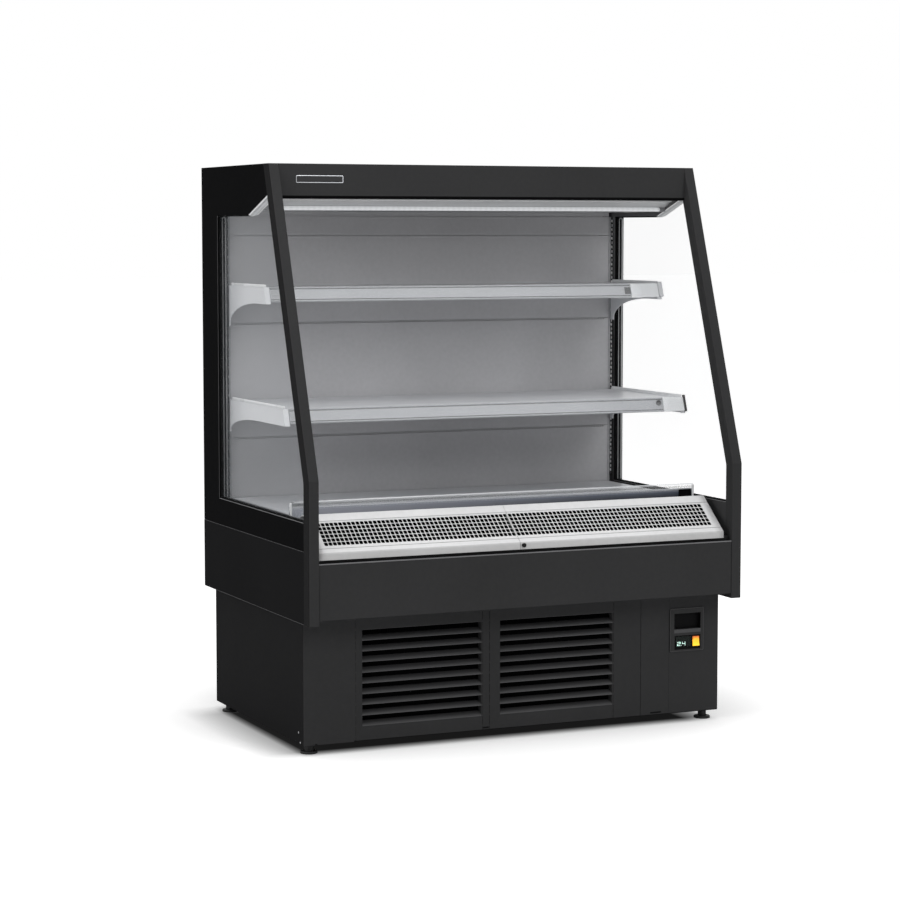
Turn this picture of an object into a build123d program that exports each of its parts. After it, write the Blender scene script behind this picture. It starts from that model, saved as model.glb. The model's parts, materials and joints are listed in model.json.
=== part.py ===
from build123d import *
import math
import os

# Open multideck display fridge, in millimetres.
# X runs to the right, -Y to the front and +Z up; the origin is on the floor, under the middle.

# Driving dimensions of the body
overall_width = 1240
overall_height = 1500
overall_depth = 815
end_thickness = 28  # the glazed ends, the posts and the tub's side panels
post_depth = 35
knee_height = 708  # the posts are upright below it and slanted above it
post_top_y = -130
skirt_height = 345  # lower edge of the posts and of the tub's side panels
end_seam_height = 531  # the glazed ends stand on the tub's side panels here
seam_gap = 1
corner_radius = 1.5
sheet = 1.5

# The window in each end
window_bottom = 602
window_top = 1369
window_rear_y = 275
window_chamfer_y = 25
window_chamfer_top = 1419
window_band = 1.5
pane_thickness = 4
pane_inset = 6
gasket = 1.5

# Header, canopy and lamp
header_y = -132
header_bottom = 1416
header_return = 28
canopy_lip_y = -76
canopy_lip_top = 1432
canopy_nose_y = -24
canopy_nose_top = 1393.5
canopy_ceiling = 1381  # a little above the windows' top edge
lamp_radius = 5.5
lamp_height = 1387.2
lamp_half = 572
honeycomb_cell = 10
honeycomb_wall = 1
honeycomb_height = 12

# Insulated tub and back
tub_bottom = 357.5
fascia_y = -405
fascia_bottom = 358
fascia_top = 500
tub_front_y = -383.5
foam_inner_front_y = -350
foam_inner_bottom = 390
foam_inner_rear_y = 355
foam_roof_bottom = 1450
rim_top = 512.5
duct_face_y = 290
duct_sheet = 1.2
duct_seams = (764, 1077, 1315, 1369)
duct_half = 580
duct_slot = (4.5, 2.2)  # width and height
duct_slot_pitch = 8
duct_slot_drop = 3  # middle of the slots below the seam above them
upright_width = 12
upright_face_y = 288
shelf_slot_pitch = 25
shelf_slot_height = 15
shelf_slot_width = 3.2
shelf_slot_x = 587  # middle of the slots and of the bracket plates
first_slot_height = 622

# Return-air grille and deck
grille_ends = (-590.5, 570)
grille_joint_x = -33
grille_lip_y = -400
grille_lip_top = 526
grille_top_y = -290
grille_top = 613
grille_sheet = 1
deck_rest_height = 588
deck_top = 600
deck_front_y = -191
deck_rear_y = 284
deck_half = 578
deck_rail_y = -196
deck_rail_top = 624
catch_x = -24
catch_height = 519.5
catch_radius = 5.5
catch_reach = 18

# Shelves: name, height of the top edge, y of the front edge, drop of the brackets' gussets,
# and the right ends of the grey price rail and of the tray's front lip
upper_shelf = ("upper_shelf", 1181, -4, 60, 491, 526)
middle_shelf = ("middle_shelf", 871, -142, 38, 520, 543)
shelf_rear_y = 272
tray_half = 584
tray_lip_half = 573
rail_height = 38
rail_lean = 13  # the rail's lower edge stands this much in front of its upper edge
bracket_thickness = 2
bracket_depth = 44
gusset_length = 210
tilt_relief = 12  # slope of the bracket's rear edge above its upper hook, in degrees

# Base with the machinery
base_half = 603
base_front_y = -318
base_rear_y = 363
base_bottom = 26
base_top = 344.5
corner_sheet_end = -460
louvre_seam_x = -83
service_seam_x = 365
louvre_openings = ((-441, -106), (-52, 279))
louvre_bottom = 64
louvre_top = 313
louvre_count = 9
blade_profile = ((0, 0), (0, 1.5), (4.5, 6), (10, 9.6), (15, 11.6), (20, 12.4))  # depth and height
finger_slots = ((-104, -84.5), (395, 429))  # in the lower edge of the left louvres and the service panel
finger_slot_z = (30.5, 35)
drain_notches = (-568, -461)  # in the lower edge of the left corner sheet
rail_size = 25
rail_bottom = 26  # underside of the frame, and height of the feet
foot_radius = 22.5
foot_stem_radius = 8
foot_x = 575
foot_front_y = -283
foot_rear_y = 328

# Control in the service panel
bezel_x = (453, 556)
bezel_z = (195, 312)
bezel_stand = 3
control_depth = 40
recess_x = (466, 547)
recess_z = (255, 298)
face_x = (467, 547)
face_z = (197, 238)
lens_x = (472, 517)
lens_z = (208, 235)
rocker_x = (523.5, 544.5)
rocker_z = (205, 234)
rocker_tilt = 6

# Fans and refrigeration parts
evaporator_fan_x = (-290, 290)
evaporator_fan_y = -120
evaporator_fan_z = 484
evaporator_fan_radius = 76
fan_clearance = 6
condenser_fan_x = 113
condenser_fan_y = -178
condenser_fan_z = 190
condenser_fan_radius = 112
fin_sheet = 1

# Values that follow from the driving dimensions
half_width = overall_width / 2
inner_half = half_width - end_thickness
front_y = -overall_depth / 2
rear_y = overall_depth / 2
post_rear_y = front_y + post_depth
post_lean = (post_top_y - front_y) / (overall_height - knee_height)
slant_depth = post_depth * math.sqrt(1 + post_lean ** 2)
knee_rear_height = knee_height + (post_depth - slant_depth) / post_lean


def post_rear_at(height):
    """Y of the slanted rear face of a post at a height above the knee."""
    return front_y + (height - knee_height) * post_lean + slant_depth


def block(x0, x1, y0, y1, z0, z1):
    """A block between two opposite corners."""
    size = Box(x1 - x0, y1 - y0, z1 - z0, align=(Align.MIN, Align.MIN, Align.MIN))
    return Pos(x0, y0, z0) * size


def bar(outline, x0, x1):
    """A closed outline of (y, z) points carried along X."""
    return extrude(Plane.YZ.offset(x0) * make_face(Polyline(*outline, close=True)), amount=x1 - x0)


def beside(points, distance, closed=False):
    """The line parallel to a line of points, at a distance to its left, with mitred corners."""
    count = len(points)
    result = []
    for i in range(count):
        normals = []
        for a, b in ((i - 1, i), (i, i + 1)):
            if not closed and (a < 0 or b >= count):
                continue
            ya, za = points[a]
            yb, zb = points[b % count]
            length = math.hypot(yb - ya, zb - za)
            normals.append(((za - zb) / length, (yb - ya) / length))
        ny = sum(n[0] for n in normals) / len(normals)
        nz = sum(n[1] for n in normals) / len(normals)
        scale = distance / (ny * ny + nz * nz)
        result.append((points[i][0] + ny * scale, points[i][1] + nz * scale))
    return result


def folded(line, thickness, x0, x1):
    """A folded sheet: a line of (y, z) points, thickened to its left and carried along X."""
    return bar(list(line) + beside(line, thickness)[::-1], x0, x1)


def pierced(width, height, thickness, holes):
    """A flat sheet in XY, centred, with rectangular holes given as (x, y, width, height)."""
    def frame(x, y, w, h):
        corners = [(x - w / 2, y - h / 2), (x + w / 2, y - h / 2)]
        corners += [(x + w / 2, y + h / 2), (x - w / 2, y + h / 2)]
        return Wire(Polyline(*corners, close=True).edges())

    face = Face(frame(0, 0, width, height), [frame(*hole) for hole in holes])
    return extrude(face, amount=thickness, dir=(0, 0, 1))


def rod(radius, start, length, direction):
    """A round bar from a start point along a direction."""
    plane = Plane(origin=start, z_dir=direction)
    return extrude(plane * Circle(radius), amount=length)


def both_sides(shape):
    """A shape on the right and its mirror image on the left."""
    return shape, mirror(shape, Plane.YZ)


def rounded(shape, axis, radius=corner_radius):
    """A shape with its edges along one axis rounded."""
    return fillet(shape.edges().filter_by(axis), radius)


def merged(first, *others):
    """One solid from pieces that are welded or moulded together."""
    result = first
    for other in others:
        result = result + other
    return result.clean()


os.makedirs("parts", exist_ok=True)


def save(name, *solids):
    """Write one node, made of one or more separate solids."""
    pieces = [solid for shape in solids for solid in shape.solids()]
    export_step(pieces[0] if len(pieces) == 1 else Compound(children=pieces), f"parts/{name}.step")


# Posts, glazed ends and windows

def front_post():
    """Right-hand post: a folded box section with a cranked outline, open at its foot."""
    outline = [
        (front_y, skirt_height),
        (front_y, knee_height),
        (post_top_y, overall_height),
        (post_top_y + slant_depth, overall_height),
        (post_rear_y, knee_rear_height),
        (post_rear_y, skirt_height),
    ]
    shell = bar(outline, inner_half, half_width)
    long_edges = [edge for edge in shell.edges() if edge.length > 100]
    shell = fillet([edge for edge in long_edges if on_post_front(edge.center())], corner_radius)
    hollow = bar(beside(outline, -2, closed=True), inner_half + 2, half_width - 2)
    open_foot = block(inner_half + 2, half_width - 2, front_y + 2, post_rear_y - 2,
                      skirt_height, skirt_height + 4)
    return shell - hollow - open_foot


def on_post_front(point):
    """Whether a point lies on the front line of a post."""
    expected = front_y + max(0, point.Z - knee_height) * post_lean
    return abs(point.Y - expected) < 1


def window_outline():
    """The opening in a glazed end, closed at the front by the post."""
    return [
        (window_rear_y, window_bottom),
        (window_rear_y, window_top),
        (window_chamfer_y, window_top),
        (post_rear_at(window_chamfer_top), window_chamfer_top),
        (post_rear_y, knee_rear_height),
        (post_rear_y, window_bottom),
    ]


def end_frame():
    """Right-hand end: a foamed frame behind the post, open where the window is."""
    outline = [
        (post_rear_y, end_seam_height),
        (rear_y, end_seam_height),
        (rear_y, overall_height),
        (post_top_y + slant_depth, overall_height),
    ]
    opening = window_outline()
    outline += [opening[3], opening[2], opening[1], opening[0], opening[5]]
    frame = bar(outline, inner_half, half_width)
    outer = [edge for edge in frame.edges() if abs(edge.center().X - half_width) < 0.1]
    rear = [edge for edge in outer if abs(edge.center().Y - rear_y) < 0.1]
    top = [edge for edge in outer if abs(edge.center().Z - overall_height) < 0.1]
    sill = [edge for edge in outer if abs(edge.center().Z - window_bottom) < 0.1]
    jamb = [edge for edge in outer if abs(edge.center().Y - window_rear_y) < 0.1]
    return fillet(rear + top + sill + jamb, corner_radius)


def window_panes():
    """Right-hand sealed unit: an outer and an inner pane."""
    outline = beside(window_outline(), gasket, closed=True)
    outer = half_width - pane_inset
    inner = inner_half + pane_inset
    return [bar(outline, outer - pane_thickness, outer), bar(outline, inner, inner + pane_thickness)]


def window_spacer():
    """Right-hand black spacer between the panes."""
    low = inner_half + pane_inset + pane_thickness
    high = half_width - pane_inset - pane_thickness
    ring = bar(beside(window_outline(), gasket, closed=True), low, high)
    return ring - bar(beside(window_outline(), gasket + window_band, closed=True), low, high)


def window_gasket():
    """Right-hand rubber gasket between the sealed unit and its frame."""
    low = inner_half + pane_inset - 1
    high = half_width - pane_inset + 1
    outline = window_outline()
    return bar(outline, low, high) - bar(beside(outline, gasket, closed=True), low, high)


def tub_side_panel():
    """Right-hand side panel of the tub."""
    panel = block(inner_half, half_width, post_rear_y, rear_y, skirt_height, end_seam_height - seam_gap)
    return rounded(panel, Axis.Y, 1)


for side, side_index in (("right", 0), ("left", 1)):
    save(f"{side}_front_post", both_sides(front_post())[side_index])
    save(f"{side}_end_frame", both_sides(end_frame())[side_index])
    save(f"{side}_tub_side_panel", both_sides(tub_side_panel())[side_index])
save("window_panes", *[half for pane in window_panes() for half in both_sides(pane)])
save("window_spacers", *both_sides(window_spacer()))
save("window_gaskets", *both_sides(window_gasket()))


# Tub, back, roof and header

def front_fascia():
    """Folded fascia between the posts."""
    line = [(tub_front_y - 0.5, fascia_bottom), (fascia_y, fascia_bottom)]
    line += [(fascia_y, fascia_top), (tub_front_y - 0.5, fascia_top)]
    return folded(line, -sheet, 1 - inner_half, inner_half - 1)


def tub_outer_skin():
    """Sheet under the tub, turned up behind the fascia."""
    line = [(tub_front_y, fascia_top), (tub_front_y, tub_bottom), (rear_y - sheet, tub_bottom)]
    return folded(line, sheet, -inner_half, inner_half)


def insulation_foam():
    """Foam in one pour: tub front, tub bottom, back and roof."""
    outline = [
        (tub_front_y + sheet, fascia_top),
        (tub_front_y + sheet, tub_bottom + sheet),
        (rear_y - sheet, tub_bottom + sheet),
        (rear_y - sheet, overall_height - sheet),
        (post_top_y + slant_depth, overall_height - sheet),
        (post_top_y + slant_depth, foam_roof_bottom),
        (foam_inner_rear_y, foam_roof_bottom),
        (foam_inner_rear_y, foam_inner_bottom),
        (foam_inner_front_y, foam_inner_bottom),
        (foam_inner_front_y, fascia_top),
    ]
    return bar(outline, -inner_half, inner_half)


def inner_liner():
    """Thin sheet on the inner face of the foam, with the tub's two end plates."""
    line = [
        (foam_inner_front_y, fascia_top),
        (foam_inner_front_y, foam_inner_bottom),
        (foam_inner_rear_y, foam_inner_bottom),
        (foam_inner_rear_y, foam_roof_bottom),
        (canopy_lip_y, foam_roof_bottom),
    ]
    shell = folded(line, 1, -inner_half, inner_half)
    end = block(inner_half - 1, inner_half, foam_inner_front_y, foam_inner_rear_y,
                foam_inner_bottom, fascia_top)
    return merged(shell, *both_sides(end))


def tub_front_rim():
    """Black plastic profile that caps the tub's front wall."""
    rim = block(-inner_half, inner_half, fascia_y + 15, foam_inner_front_y + 4, fascia_top, rim_top)
    return rounded(rim, Axis.X, 2)


def rear_and_roof_panel():
    """Outer sheet of the back, folded forward over the roof as far as the header."""
    line = [(rear_y, tub_bottom), (rear_y, overall_height), (post_top_y + slant_depth, overall_height)]
    return folded(line, sheet, -inner_half, inner_half)


def header_fascia():
    """Folded header: roof return, upright face and a lip that carries the honeycomb."""
    line = [(post_top_y + slant_depth, overall_height), (header_y, overall_height)]
    line += [(header_y, header_bottom), (header_y + header_return, header_bottom)]
    return folded(line, sheet, 0.5 - inner_half, inner_half - 0.5)


def canopy_panel():
    """Sheet under the roof duct: lip, slope, nose and a flat ceiling above the top shelf."""
    line = [
        (canopy_lip_y, canopy_lip_top),
        (canopy_lip_y, header_bottom + 1),
        (canopy_nose_y, canopy_nose_top),
        (canopy_nose_y, canopy_ceiling),
        (duct_face_y, canopy_ceiling),
    ]
    return folded(line, duct_sheet, -inner_half, inner_half)


def lamp_diffuser():
    """Half-round diffuser of the light strip, along the front of the canopy's nose."""
    whole = rod(lamp_radius, (-lamp_half, canopy_nose_y, lamp_height), 2 * lamp_half, (1, 0, 0))
    front = block(-lamp_half, lamp_half, canopy_nose_y - 20, canopy_nose_y, canopy_ceiling, canopy_nose_top)
    return whole & front


def honeycomb_outlet():
    """Air outlet: a slab of square cells between the header's lip and the canopy's lip."""
    front = header_y + sheet + honeycomb_wall * 15
    depth = canopy_lip_y - front
    pitch = honeycomb_cell + honeycomb_wall
    rows = int((depth - honeycomb_wall) / pitch)
    columns = int((2 * inner_half - 4) / pitch)
    holes = []
    for row in range(rows):
        for column in range(columns):
            x = (column - (columns - 1) / 2) * pitch
            y = (row - (rows - 1) / 2) * pitch
            holes.append((x, y, honeycomb_cell, honeycomb_cell))
    slab = pierced(2 * inner_half - 2, depth, honeycomb_height, holes)
    return Pos(0, (front + canopy_lip_y) / 2, header_bottom + sheet) * slab


save("front_fascia", rounded(front_fascia(), Axis.X, 0.7))
save("tub_outer_skin", tub_outer_skin())
save("insulation_foam", insulation_foam())
save("inner_liner", inner_liner())
save("tub_front_rim", tub_front_rim())
save("rear_and_roof_panel", rear_and_roof_panel())
save("header_fascia", header_fascia())
save("canopy_panel", canopy_panel())
save("lamp_diffuser", lamp_diffuser())
save("honeycomb_outlet", honeycomb_outlet())


# Back duct and slotted uprights

def duct_panel(bottom, top, slotted=False):
    """One sheet of the back duct, with or without a row of short air slots under its top edge."""
    count = int((2 * duct_half - 20) / duct_slot_pitch) if slotted else 0
    middle = (bottom + top) / 2
    row = (top - bottom) / 2 - duct_slot_drop
    holes = []
    for index in range(count):
        holes.append(((index - (count - 1) / 2) * duct_slot_pitch, row, *duct_slot))
    flat = pierced(2 * duct_half, top - bottom, duct_sheet, holes)
    upright = Location((0, duct_face_y + duct_sheet, middle), (90, 0, 0))
    return upright * flat


def back_duct_panels():
    """Five sheets one above the other, and the ledge on the lowest one that carries the deck."""
    low, middle, high, top = duct_seams
    gap = seam_gap / 2
    foot = deck_rest_height - duct_sheet
    sheets = [block(-duct_half, duct_half, duct_face_y - 28, duct_face_y, foot, deck_rest_height)]
    sheets.append(duct_panel(foot, low - gap, slotted=True))
    sheets.append(duct_panel(low + gap, middle - gap, slotted=True))
    sheets.append(duct_panel(middle + gap, high - gap))
    sheets.append(duct_panel(high + gap, top - gap))
    sheets.append(duct_panel(top + gap, canopy_ceiling + duct_sheet))
    return sheets


def slotted_upright():
    """Right-hand shelf upright: a channel on the liner, with a column of slots in its web."""
    outer = inner_half
    inner = inner_half - upright_width
    low = first_slot_height - 24
    high = window_top - 1
    back = foam_inner_rear_y - 1
    web = block(inner, outer, upright_face_y, upright_face_y + 2, low, high)
    flanges = [block(inner, inner + sheet, upright_face_y + 2, back, low, high)]
    flanges.append(block(outer - sheet, outer, upright_face_y + 2, back, low, high))
    slots = []
    height = first_slot_height
    while height + shelf_slot_height < high - 5:
        left = shelf_slot_x - shelf_slot_width / 2
        slots.append(block(left, left + shelf_slot_width, upright_face_y - 1, upright_face_y + 3,
                           height - shelf_slot_height / 2, height + shelf_slot_height / 2))
        height += shelf_slot_pitch
    return merged(web, *flanges) - slots


save("back_duct_panels", *back_duct_panels())
save("shelf_uprights", *both_sides(slotted_upright()))


# Shelves

def slot_near(height):
    """Middle height of the upright's slot nearest to a height."""
    index = round((height - first_slot_height) / shelf_slot_pitch)
    return first_slot_height + index * shelf_slot_pitch


def shelf_bracket(top, front, gusset_drop):
    """Right-hand bracket: plate with a curved gusset, turned front corner, ledge and two hooks."""
    x0 = shelf_slot_x - bracket_thickness / 2
    x1 = shelf_slot_x + bracket_thickness / 2
    rear = upright_face_y - 0.3
    straight = rear - 18 - gusset_length
    low = top - bracket_depth - gusset_drop
    plate = block(x0, x1, front - rail_lean, rear, low - 6, top)
    lean = [(front - 60, top + 1), (front - 1, top + 1), (front - 1 - rail_lean, top - bracket_depth)]
    plate -= bar(lean + [(front - 60, top - bracket_depth)], x0 - 1, x1 + 1)
    plate -= block(x0 - 1, x1 + 1, front - 60, max(straight, front), low - 6, top - bracket_depth)
    opening = Plane.YZ.offset(x0 - 1) * Pos(straight, low) * Ellipse(gusset_length, gusset_drop)
    plate -= extrude(opening, amount=bracket_thickness + 2)
    plate -= block(x0 - 1, x1 + 1, straight - 1, straight + gusset_length, low - 6, low)
    hook_height = slot_near(top - 22)
    relief = (top + 1 - hook_height) * math.tan(math.radians(tilt_relief))
    wedge = [(rear + 1, hook_height), (rear + 1, top + 1), (rear - relief, top + 1), (rear, hook_height)]
    plate -= bar(wedge, x0 - 1, x1 + 1)
    turned = folded([(front - 1, top), (front - 1 - rail_lean, top - bracket_depth)], sheet,
                    tray_lip_half + 1, x0)
    ledge = block(tray_lip_half + 1, x0, front + 10, rear - 8, top - 19 - sheet, top - 19)
    solid = merged(plate, turned, ledge)
    for height, hooked in ((hook_height, True), (slot_near(top - 72), False)):
        tab = block(x0, x1, rear, upright_face_y + 5, height - 2, height + 6)
        if hooked:
            nose = block(x0, x1, upright_face_y + 2.6, upright_face_y + 5, height - 6, height + 6)
            tab = merged(tab, nose)
        solid = merged(solid, tab)
    return solid


def shelf_tray(top, front, lip_end):
    """Tray of folded sheet, with end lips that stand on the bracket ledges."""
    lean = [(front, top - 1), (front - rail_lean, top - rail_height)]
    hem = (front - rail_lean + 7, top - rail_height - 1)
    deck = folded([(shelf_rear_y, top - 14), (shelf_rear_y, top - 2), (front + 1, top - 2)], 1,
                  -tray_half, tray_half)
    lip = folded([(front + 6, top - 2), (front + 1, top - 2), *lean, hem], 1, -tray_lip_half, lip_end)
    side = block(tray_half - 1, tray_half, front + 12, shelf_rear_y, top - 19, top - 2)
    return merged(deck, lip, *both_sides(side))


def price_rail(top, front, rail_end):
    """Grey price rail on the tray's front lip: a channel with a bead along both edges."""
    lean = [(front, top - 1), (front - rail_lean, top - rail_height)]
    back = beside(lean, -0.2)
    face = folded(back, -1.2, -tray_lip_half, rail_end)
    (upper_y, upper_z), (lower_y, lower_z) = beside(lean, -2.6)
    beads = []
    for share in (0.05, 0.95):
        y = upper_y + (lower_y - upper_y) * share
        z = upper_z + (lower_z - upper_z) * share
        beads.append(rod(1.8, (-tray_lip_half, y, z), tray_lip_half + rail_end, (1, 0, 0)))
    return merged(face, *beads)


def rail_end_clips(top, front, rail_end, lip_end):
    """End pieces of the price rail: a narrow clip beside it, and the dark clip at the right end."""
    lean = [(front, top - 1), (front - rail_lean, top - rail_height)]
    clip = folded(beside(lean, -0.2), -4, rail_end, lip_end)
    end = [(front + 2, top + 4), (front - rail_lean - 1, top - rail_height - 1)]
    end += [(front - rail_lean - 10, top - rail_height - 1), (front - 3, top + 4)]
    return [clip, bar(end, tray_half + 5, tray_half + 7)]


def ticket_cover(top, front):
    """Clear strip that holds the price tickets; it runs past the right end of the rail."""
    lean = [(front, top - 1), (front - rail_lean, top - rail_height)]
    return folded(beside(lean, -4.45), -1.2, 1 - tray_lip_half, tray_half + 5)


for name, shelf_top, shelf_front, gusset_drop, rail_end, lip_end in (upper_shelf, middle_shelf):
    save(f"{name}_brackets", *both_sides(shelf_bracket(shelf_top, shelf_front, gusset_drop)))
    save(f"{name}_tray", shelf_tray(shelf_top, shelf_front, lip_end))
    clips = rail_end_clips(shelf_top, shelf_front, rail_end, lip_end)
    save(f"{name}_price_rail", price_rail(shelf_top, shelf_front, rail_end), *clips)
    save(f"{name}_ticket_cover", ticket_cover(shelf_top, shelf_front))


# Deck and return-air grille

def deck_pan(x0, x1):
    """Folded pan of the deck, standing on its front and rear flanges."""
    line = [(deck_rear_y, deck_rest_height), (deck_rear_y, deck_top)]
    line += [(deck_front_y, deck_top), (deck_front_y, deck_rest_height)]
    return folded(line, sheet, x0, x1)


def deck_rail():
    """Translucent strip that stands along the front of the deck."""
    strip = block(-inner_half, inner_half, deck_rail_y, deck_rail_y + 3.5, deck_rest_height, deck_rail_top)
    return rounded(strip, Axis.X, 1)


def grille_half_panel(x0, x1):
    """One half of the return-air grille: lip, perforated slope and rear flange."""
    line = [
        (grille_lip_y + 20, rim_top),
        (grille_lip_y, rim_top),
        (grille_lip_y, grille_lip_top),
        (grille_top_y, grille_top),
        (grille_top_y + 64, deck_rest_height + grille_sheet),
        (grille_top_y + 88, deck_rest_height + grille_sheet),
    ]
    panel = folded(line, -grille_sheet, x0, x1)
    slope_y = grille_top_y - grille_lip_y
    slope_z = grille_top - grille_lip_top
    length = math.hypot(slope_y, slope_z)
    tilt = math.degrees(math.atan2(slope_z, slope_y))
    columns = round((x1 - x0 - 24) / 11)
    pitch = (x1 - x0 - 24) / columns
    hole = Location((0, 0, 0), (tilt, 0, 0)) * Box(6.2, 8.2, 12)
    cutters = []
    for row in range(6):
        along = length * (0.20 + 0.098 * row)
        y = grille_lip_y + slope_y * along / length
        z = grille_lip_top + slope_z * along / length
        for column in range(columns):
            x = x0 + 12 + (column + 0.5) * pitch
            cutters.append(Pos(x, y, z) * hole)
    notch = block(catch_x - catch_reach - 4, catch_x + 22, grille_lip_y + grille_sheet, grille_lip_y + 21,
                  rim_top - 1, rim_top + grille_sheet + 0.5)
    return panel - cutters - notch


def grille_catch():
    """Quarter-turn catch at the joint: knob, stem and a tongue behind both halves."""
    knob = rod(catch_radius, (catch_x, grille_lip_y - 5, catch_height), 4.7, (0, 1, 0))
    grip = block(catch_x - 1.5, catch_x + 1.5, grille_lip_y - 7, grille_lip_y - 4,
                 catch_height - 5, catch_height + 5)
    stem = rod(2.45, (catch_x, grille_lip_y - 1, catch_height), 5, (0, 1, 0))
    tongue = block(catch_x - catch_reach, catch_x + 4, grille_lip_y + 1.4, grille_lip_y + 2.6,
                   catch_height - 2.4, catch_height + 2.4)
    return merged(knob, grip, stem, tongue)


catch_hole = rod(2.5, (catch_x, grille_lip_y - 1, catch_height), 3, (0, 1, 0))
save("left_deck_pan", deck_pan(-deck_half, -0.5))
save("right_deck_pan", deck_pan(0.5, deck_half))
save("deck_rail", deck_rail())
save("left_return_grille", grille_half_panel(grille_ends[0], grille_joint_x - 0.5))
save("right_return_grille", grille_half_panel(grille_joint_x + 0.5, grille_ends[1]) - catch_hole)
save("grille_catch", grille_catch())


# Evaporator and its fans

def fan_blades(radius, depth, blades, centre, hub_radius):
    """Axial fan that turns about Y: a hub and flat pitched blades."""
    x, y, z = centre
    hub = rod(hub_radius, (0, -depth / 2, 0), depth, (0, 1, 0))
    rotor = hub
    for index in range(blades):
        blade = Pos(0, 0, (radius + hub_radius) / 2 - 2) * (
            Rot(0, 0, 32) * Box(radius * 0.62, 1.6, radius - hub_radius + 4))
        blade = blade & rod(radius, (0, -depth, 0), 2 * depth, (0, 1, 0))
        rotor = merged(rotor, Rot(0, index * 360 / blades, 0) * blade)
    return Pos(x, y, z) * rotor


def evaporator_fan_plate():
    """Plate across the tub with a round opening for each fan, and a ledge for the deck."""
    low = foam_inner_bottom + 1 + duct_sheet
    line = [
        (evaporator_fan_y + 25, low),
        (evaporator_fan_y, low),
        (evaporator_fan_y, deck_rest_height),
        (grille_top_y + 62, deck_rest_height),
    ]
    plate = folded(line, duct_sheet, 1 - inner_half, inner_half - 1)
    for x in evaporator_fan_x:
        hole = (x, evaporator_fan_y - 5, evaporator_fan_z)
        plate -= rod(evaporator_fan_radius + fan_clearance, hole, 10, (0, 1, 0))
    return plate


def finned_coil(low, high, fin_pitch, tubes):
    """Coil between two opposite corners: thin fins across X, on tubes given by their (y, z)."""
    length = high[0] - low[0]
    solid = rod(5, (low[0] - 12, *tubes[0]), length + 24, (1, 0, 0))
    for tube in tubes[1:]:
        solid += rod(5, (low[0] - 12, *tube), length + 24, (1, 0, 0))
    fins = []
    for index in range(round(length / fin_pitch)):
        x = low[0] + index * fin_pitch
        fins.append(block(x, x + fin_sheet, low[1], high[1], low[2], high[2]))
    return solid + fins


def evaporator_coil():
    """Finned coil that stands in the tub behind its fans."""
    low = foam_inner_bottom + 1
    tubes = [(-10 + 65 * column, low + 30 + 50 * row) for row in range(3) for column in range(4)]
    return finned_coil((-500, -40, low), (500, 220, low + 164), 25, tubes)


def fan_motor(x, y, z, radius, length, arm, plate_y):
    """Motor behind a fan, on a cross bar whose legs stand on the fan's plate."""
    can = rod(radius, (x, y, z), length, (0, 1, 0))
    rear = y + length - 8
    cross = block(x - arm, x + arm, rear - 4, rear, z - 6, z + 6)
    legs = [block(x + way * arm - 3, x + way * arm + 3, plate_y, rear, z - 6, z + 6) for way in (-1, 1)]
    return merged(can, cross, *legs)


save("evaporator_fan_plate", evaporator_fan_plate())
save("evaporator_coil", evaporator_coil())
for side, x in zip(("left", "right"), evaporator_fan_x):
    centre = (x, evaporator_fan_y - 2, evaporator_fan_z)
    save(f"{side}_evaporator_fan", fan_blades(evaporator_fan_radius, 26, 5, centre, 24))


# Base frame, its panels and the feet

def base_frame():
    """Welded frame of square tube: floor rails, posts, mullions and top rails."""
    tube = rail_size
    front = base_front_y + sheet
    rear = base_rear_y - sheet
    side = base_half - sheet
    upper = tub_bottom - tube
    frame = block(-side, side, front, front + tube, rail_bottom, rail_bottom + tube)
    frame += block(-side, side, rear - tube, rear, rail_bottom, rail_bottom + tube)
    frame += block(1 - inner_half, inner_half - 1, front, front + tube, upper, tub_bottom)
    frame += block(1 - inner_half, inner_half - 1, rear - tube, rear, upper, tub_bottom)
    for end in both_sides(block(side - tube, side, front, rear, rail_bottom, rail_bottom + tube)):
        frame += end
    low = rail_bottom + tube
    for y in (front, rear - tube):
        for corner in both_sides(block(inner_half - 1 - tube, inner_half - 1, y, y + tube, low, upper)):
            frame += corner
    for x in (corner_sheet_end, louvre_seam_x, service_seam_x):
        frame += block(x - tube / 2, x + tube / 2, front, front + tube, low, upper)
    floor = block(-side, side, front, rear, low, low + sheet)
    frame += floor
    for x in (-foot_x, foot_x):
        for y in (foot_front_y, foot_rear_y):
            plate = block(x - 20, x + 20, y - 20, y + 20, low - 8, low)
            frame += plate
            frame -= rod(foot_stem_radius + 0.05, (x, y, rail_bottom - 1), low + 4 - rail_bottom, (0, 0, 1))
    return frame


def base_left_panel():
    """Left side sheet, turned round the front corner up to the first louvred panel."""
    front = block(-base_half, corner_sheet_end, base_front_y, base_front_y + sheet, base_bottom, base_top)
    side = block(-base_half, sheet - base_half, base_front_y, base_rear_y, base_bottom, base_top)
    notches = [rod(3.5, (x, base_front_y - 1, base_bottom), sheet + 2, (0, 1, 0)) for x in drain_notches]
    return merged(front, side) - notches


def base_right_panel():
    """Right side sheet."""
    return block(base_half - sheet, base_half, base_front_y + sheet, base_rear_y, base_bottom, base_top)


def base_rear_grille():
    """Rear sheet of the machine compartment, with upright slots for the warm air."""
    holes = []
    for column in range(40):
        x = (column - 19.5) * 24
        for row in (-55, 55):
            holes.append((x, row, 9, 90))
    flat = pierced(2 * (base_half - sheet), base_top - base_bottom, sheet, holes)
    return Location((0, base_rear_y, (base_top + base_bottom) / 2), (90, 0, 0)) * flat


def louvre_blade(low, left, right):
    """One blade: it rolls back and up from its front lower edge."""
    line = [(base_front_y + 0.5 + depth, low + height) for depth, height in blade_profile]
    return folded(line, -sheet, left, right)


def finger_slot(x0, x1):
    """Cutter for a round-ended slot low in the front sheets."""
    slot = block(x0, x1, base_front_y - 1, base_front_y + sheet + 1, *finger_slot_z)
    return fillet(slot.edges().filter_by(Axis.Y), 2)


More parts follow.
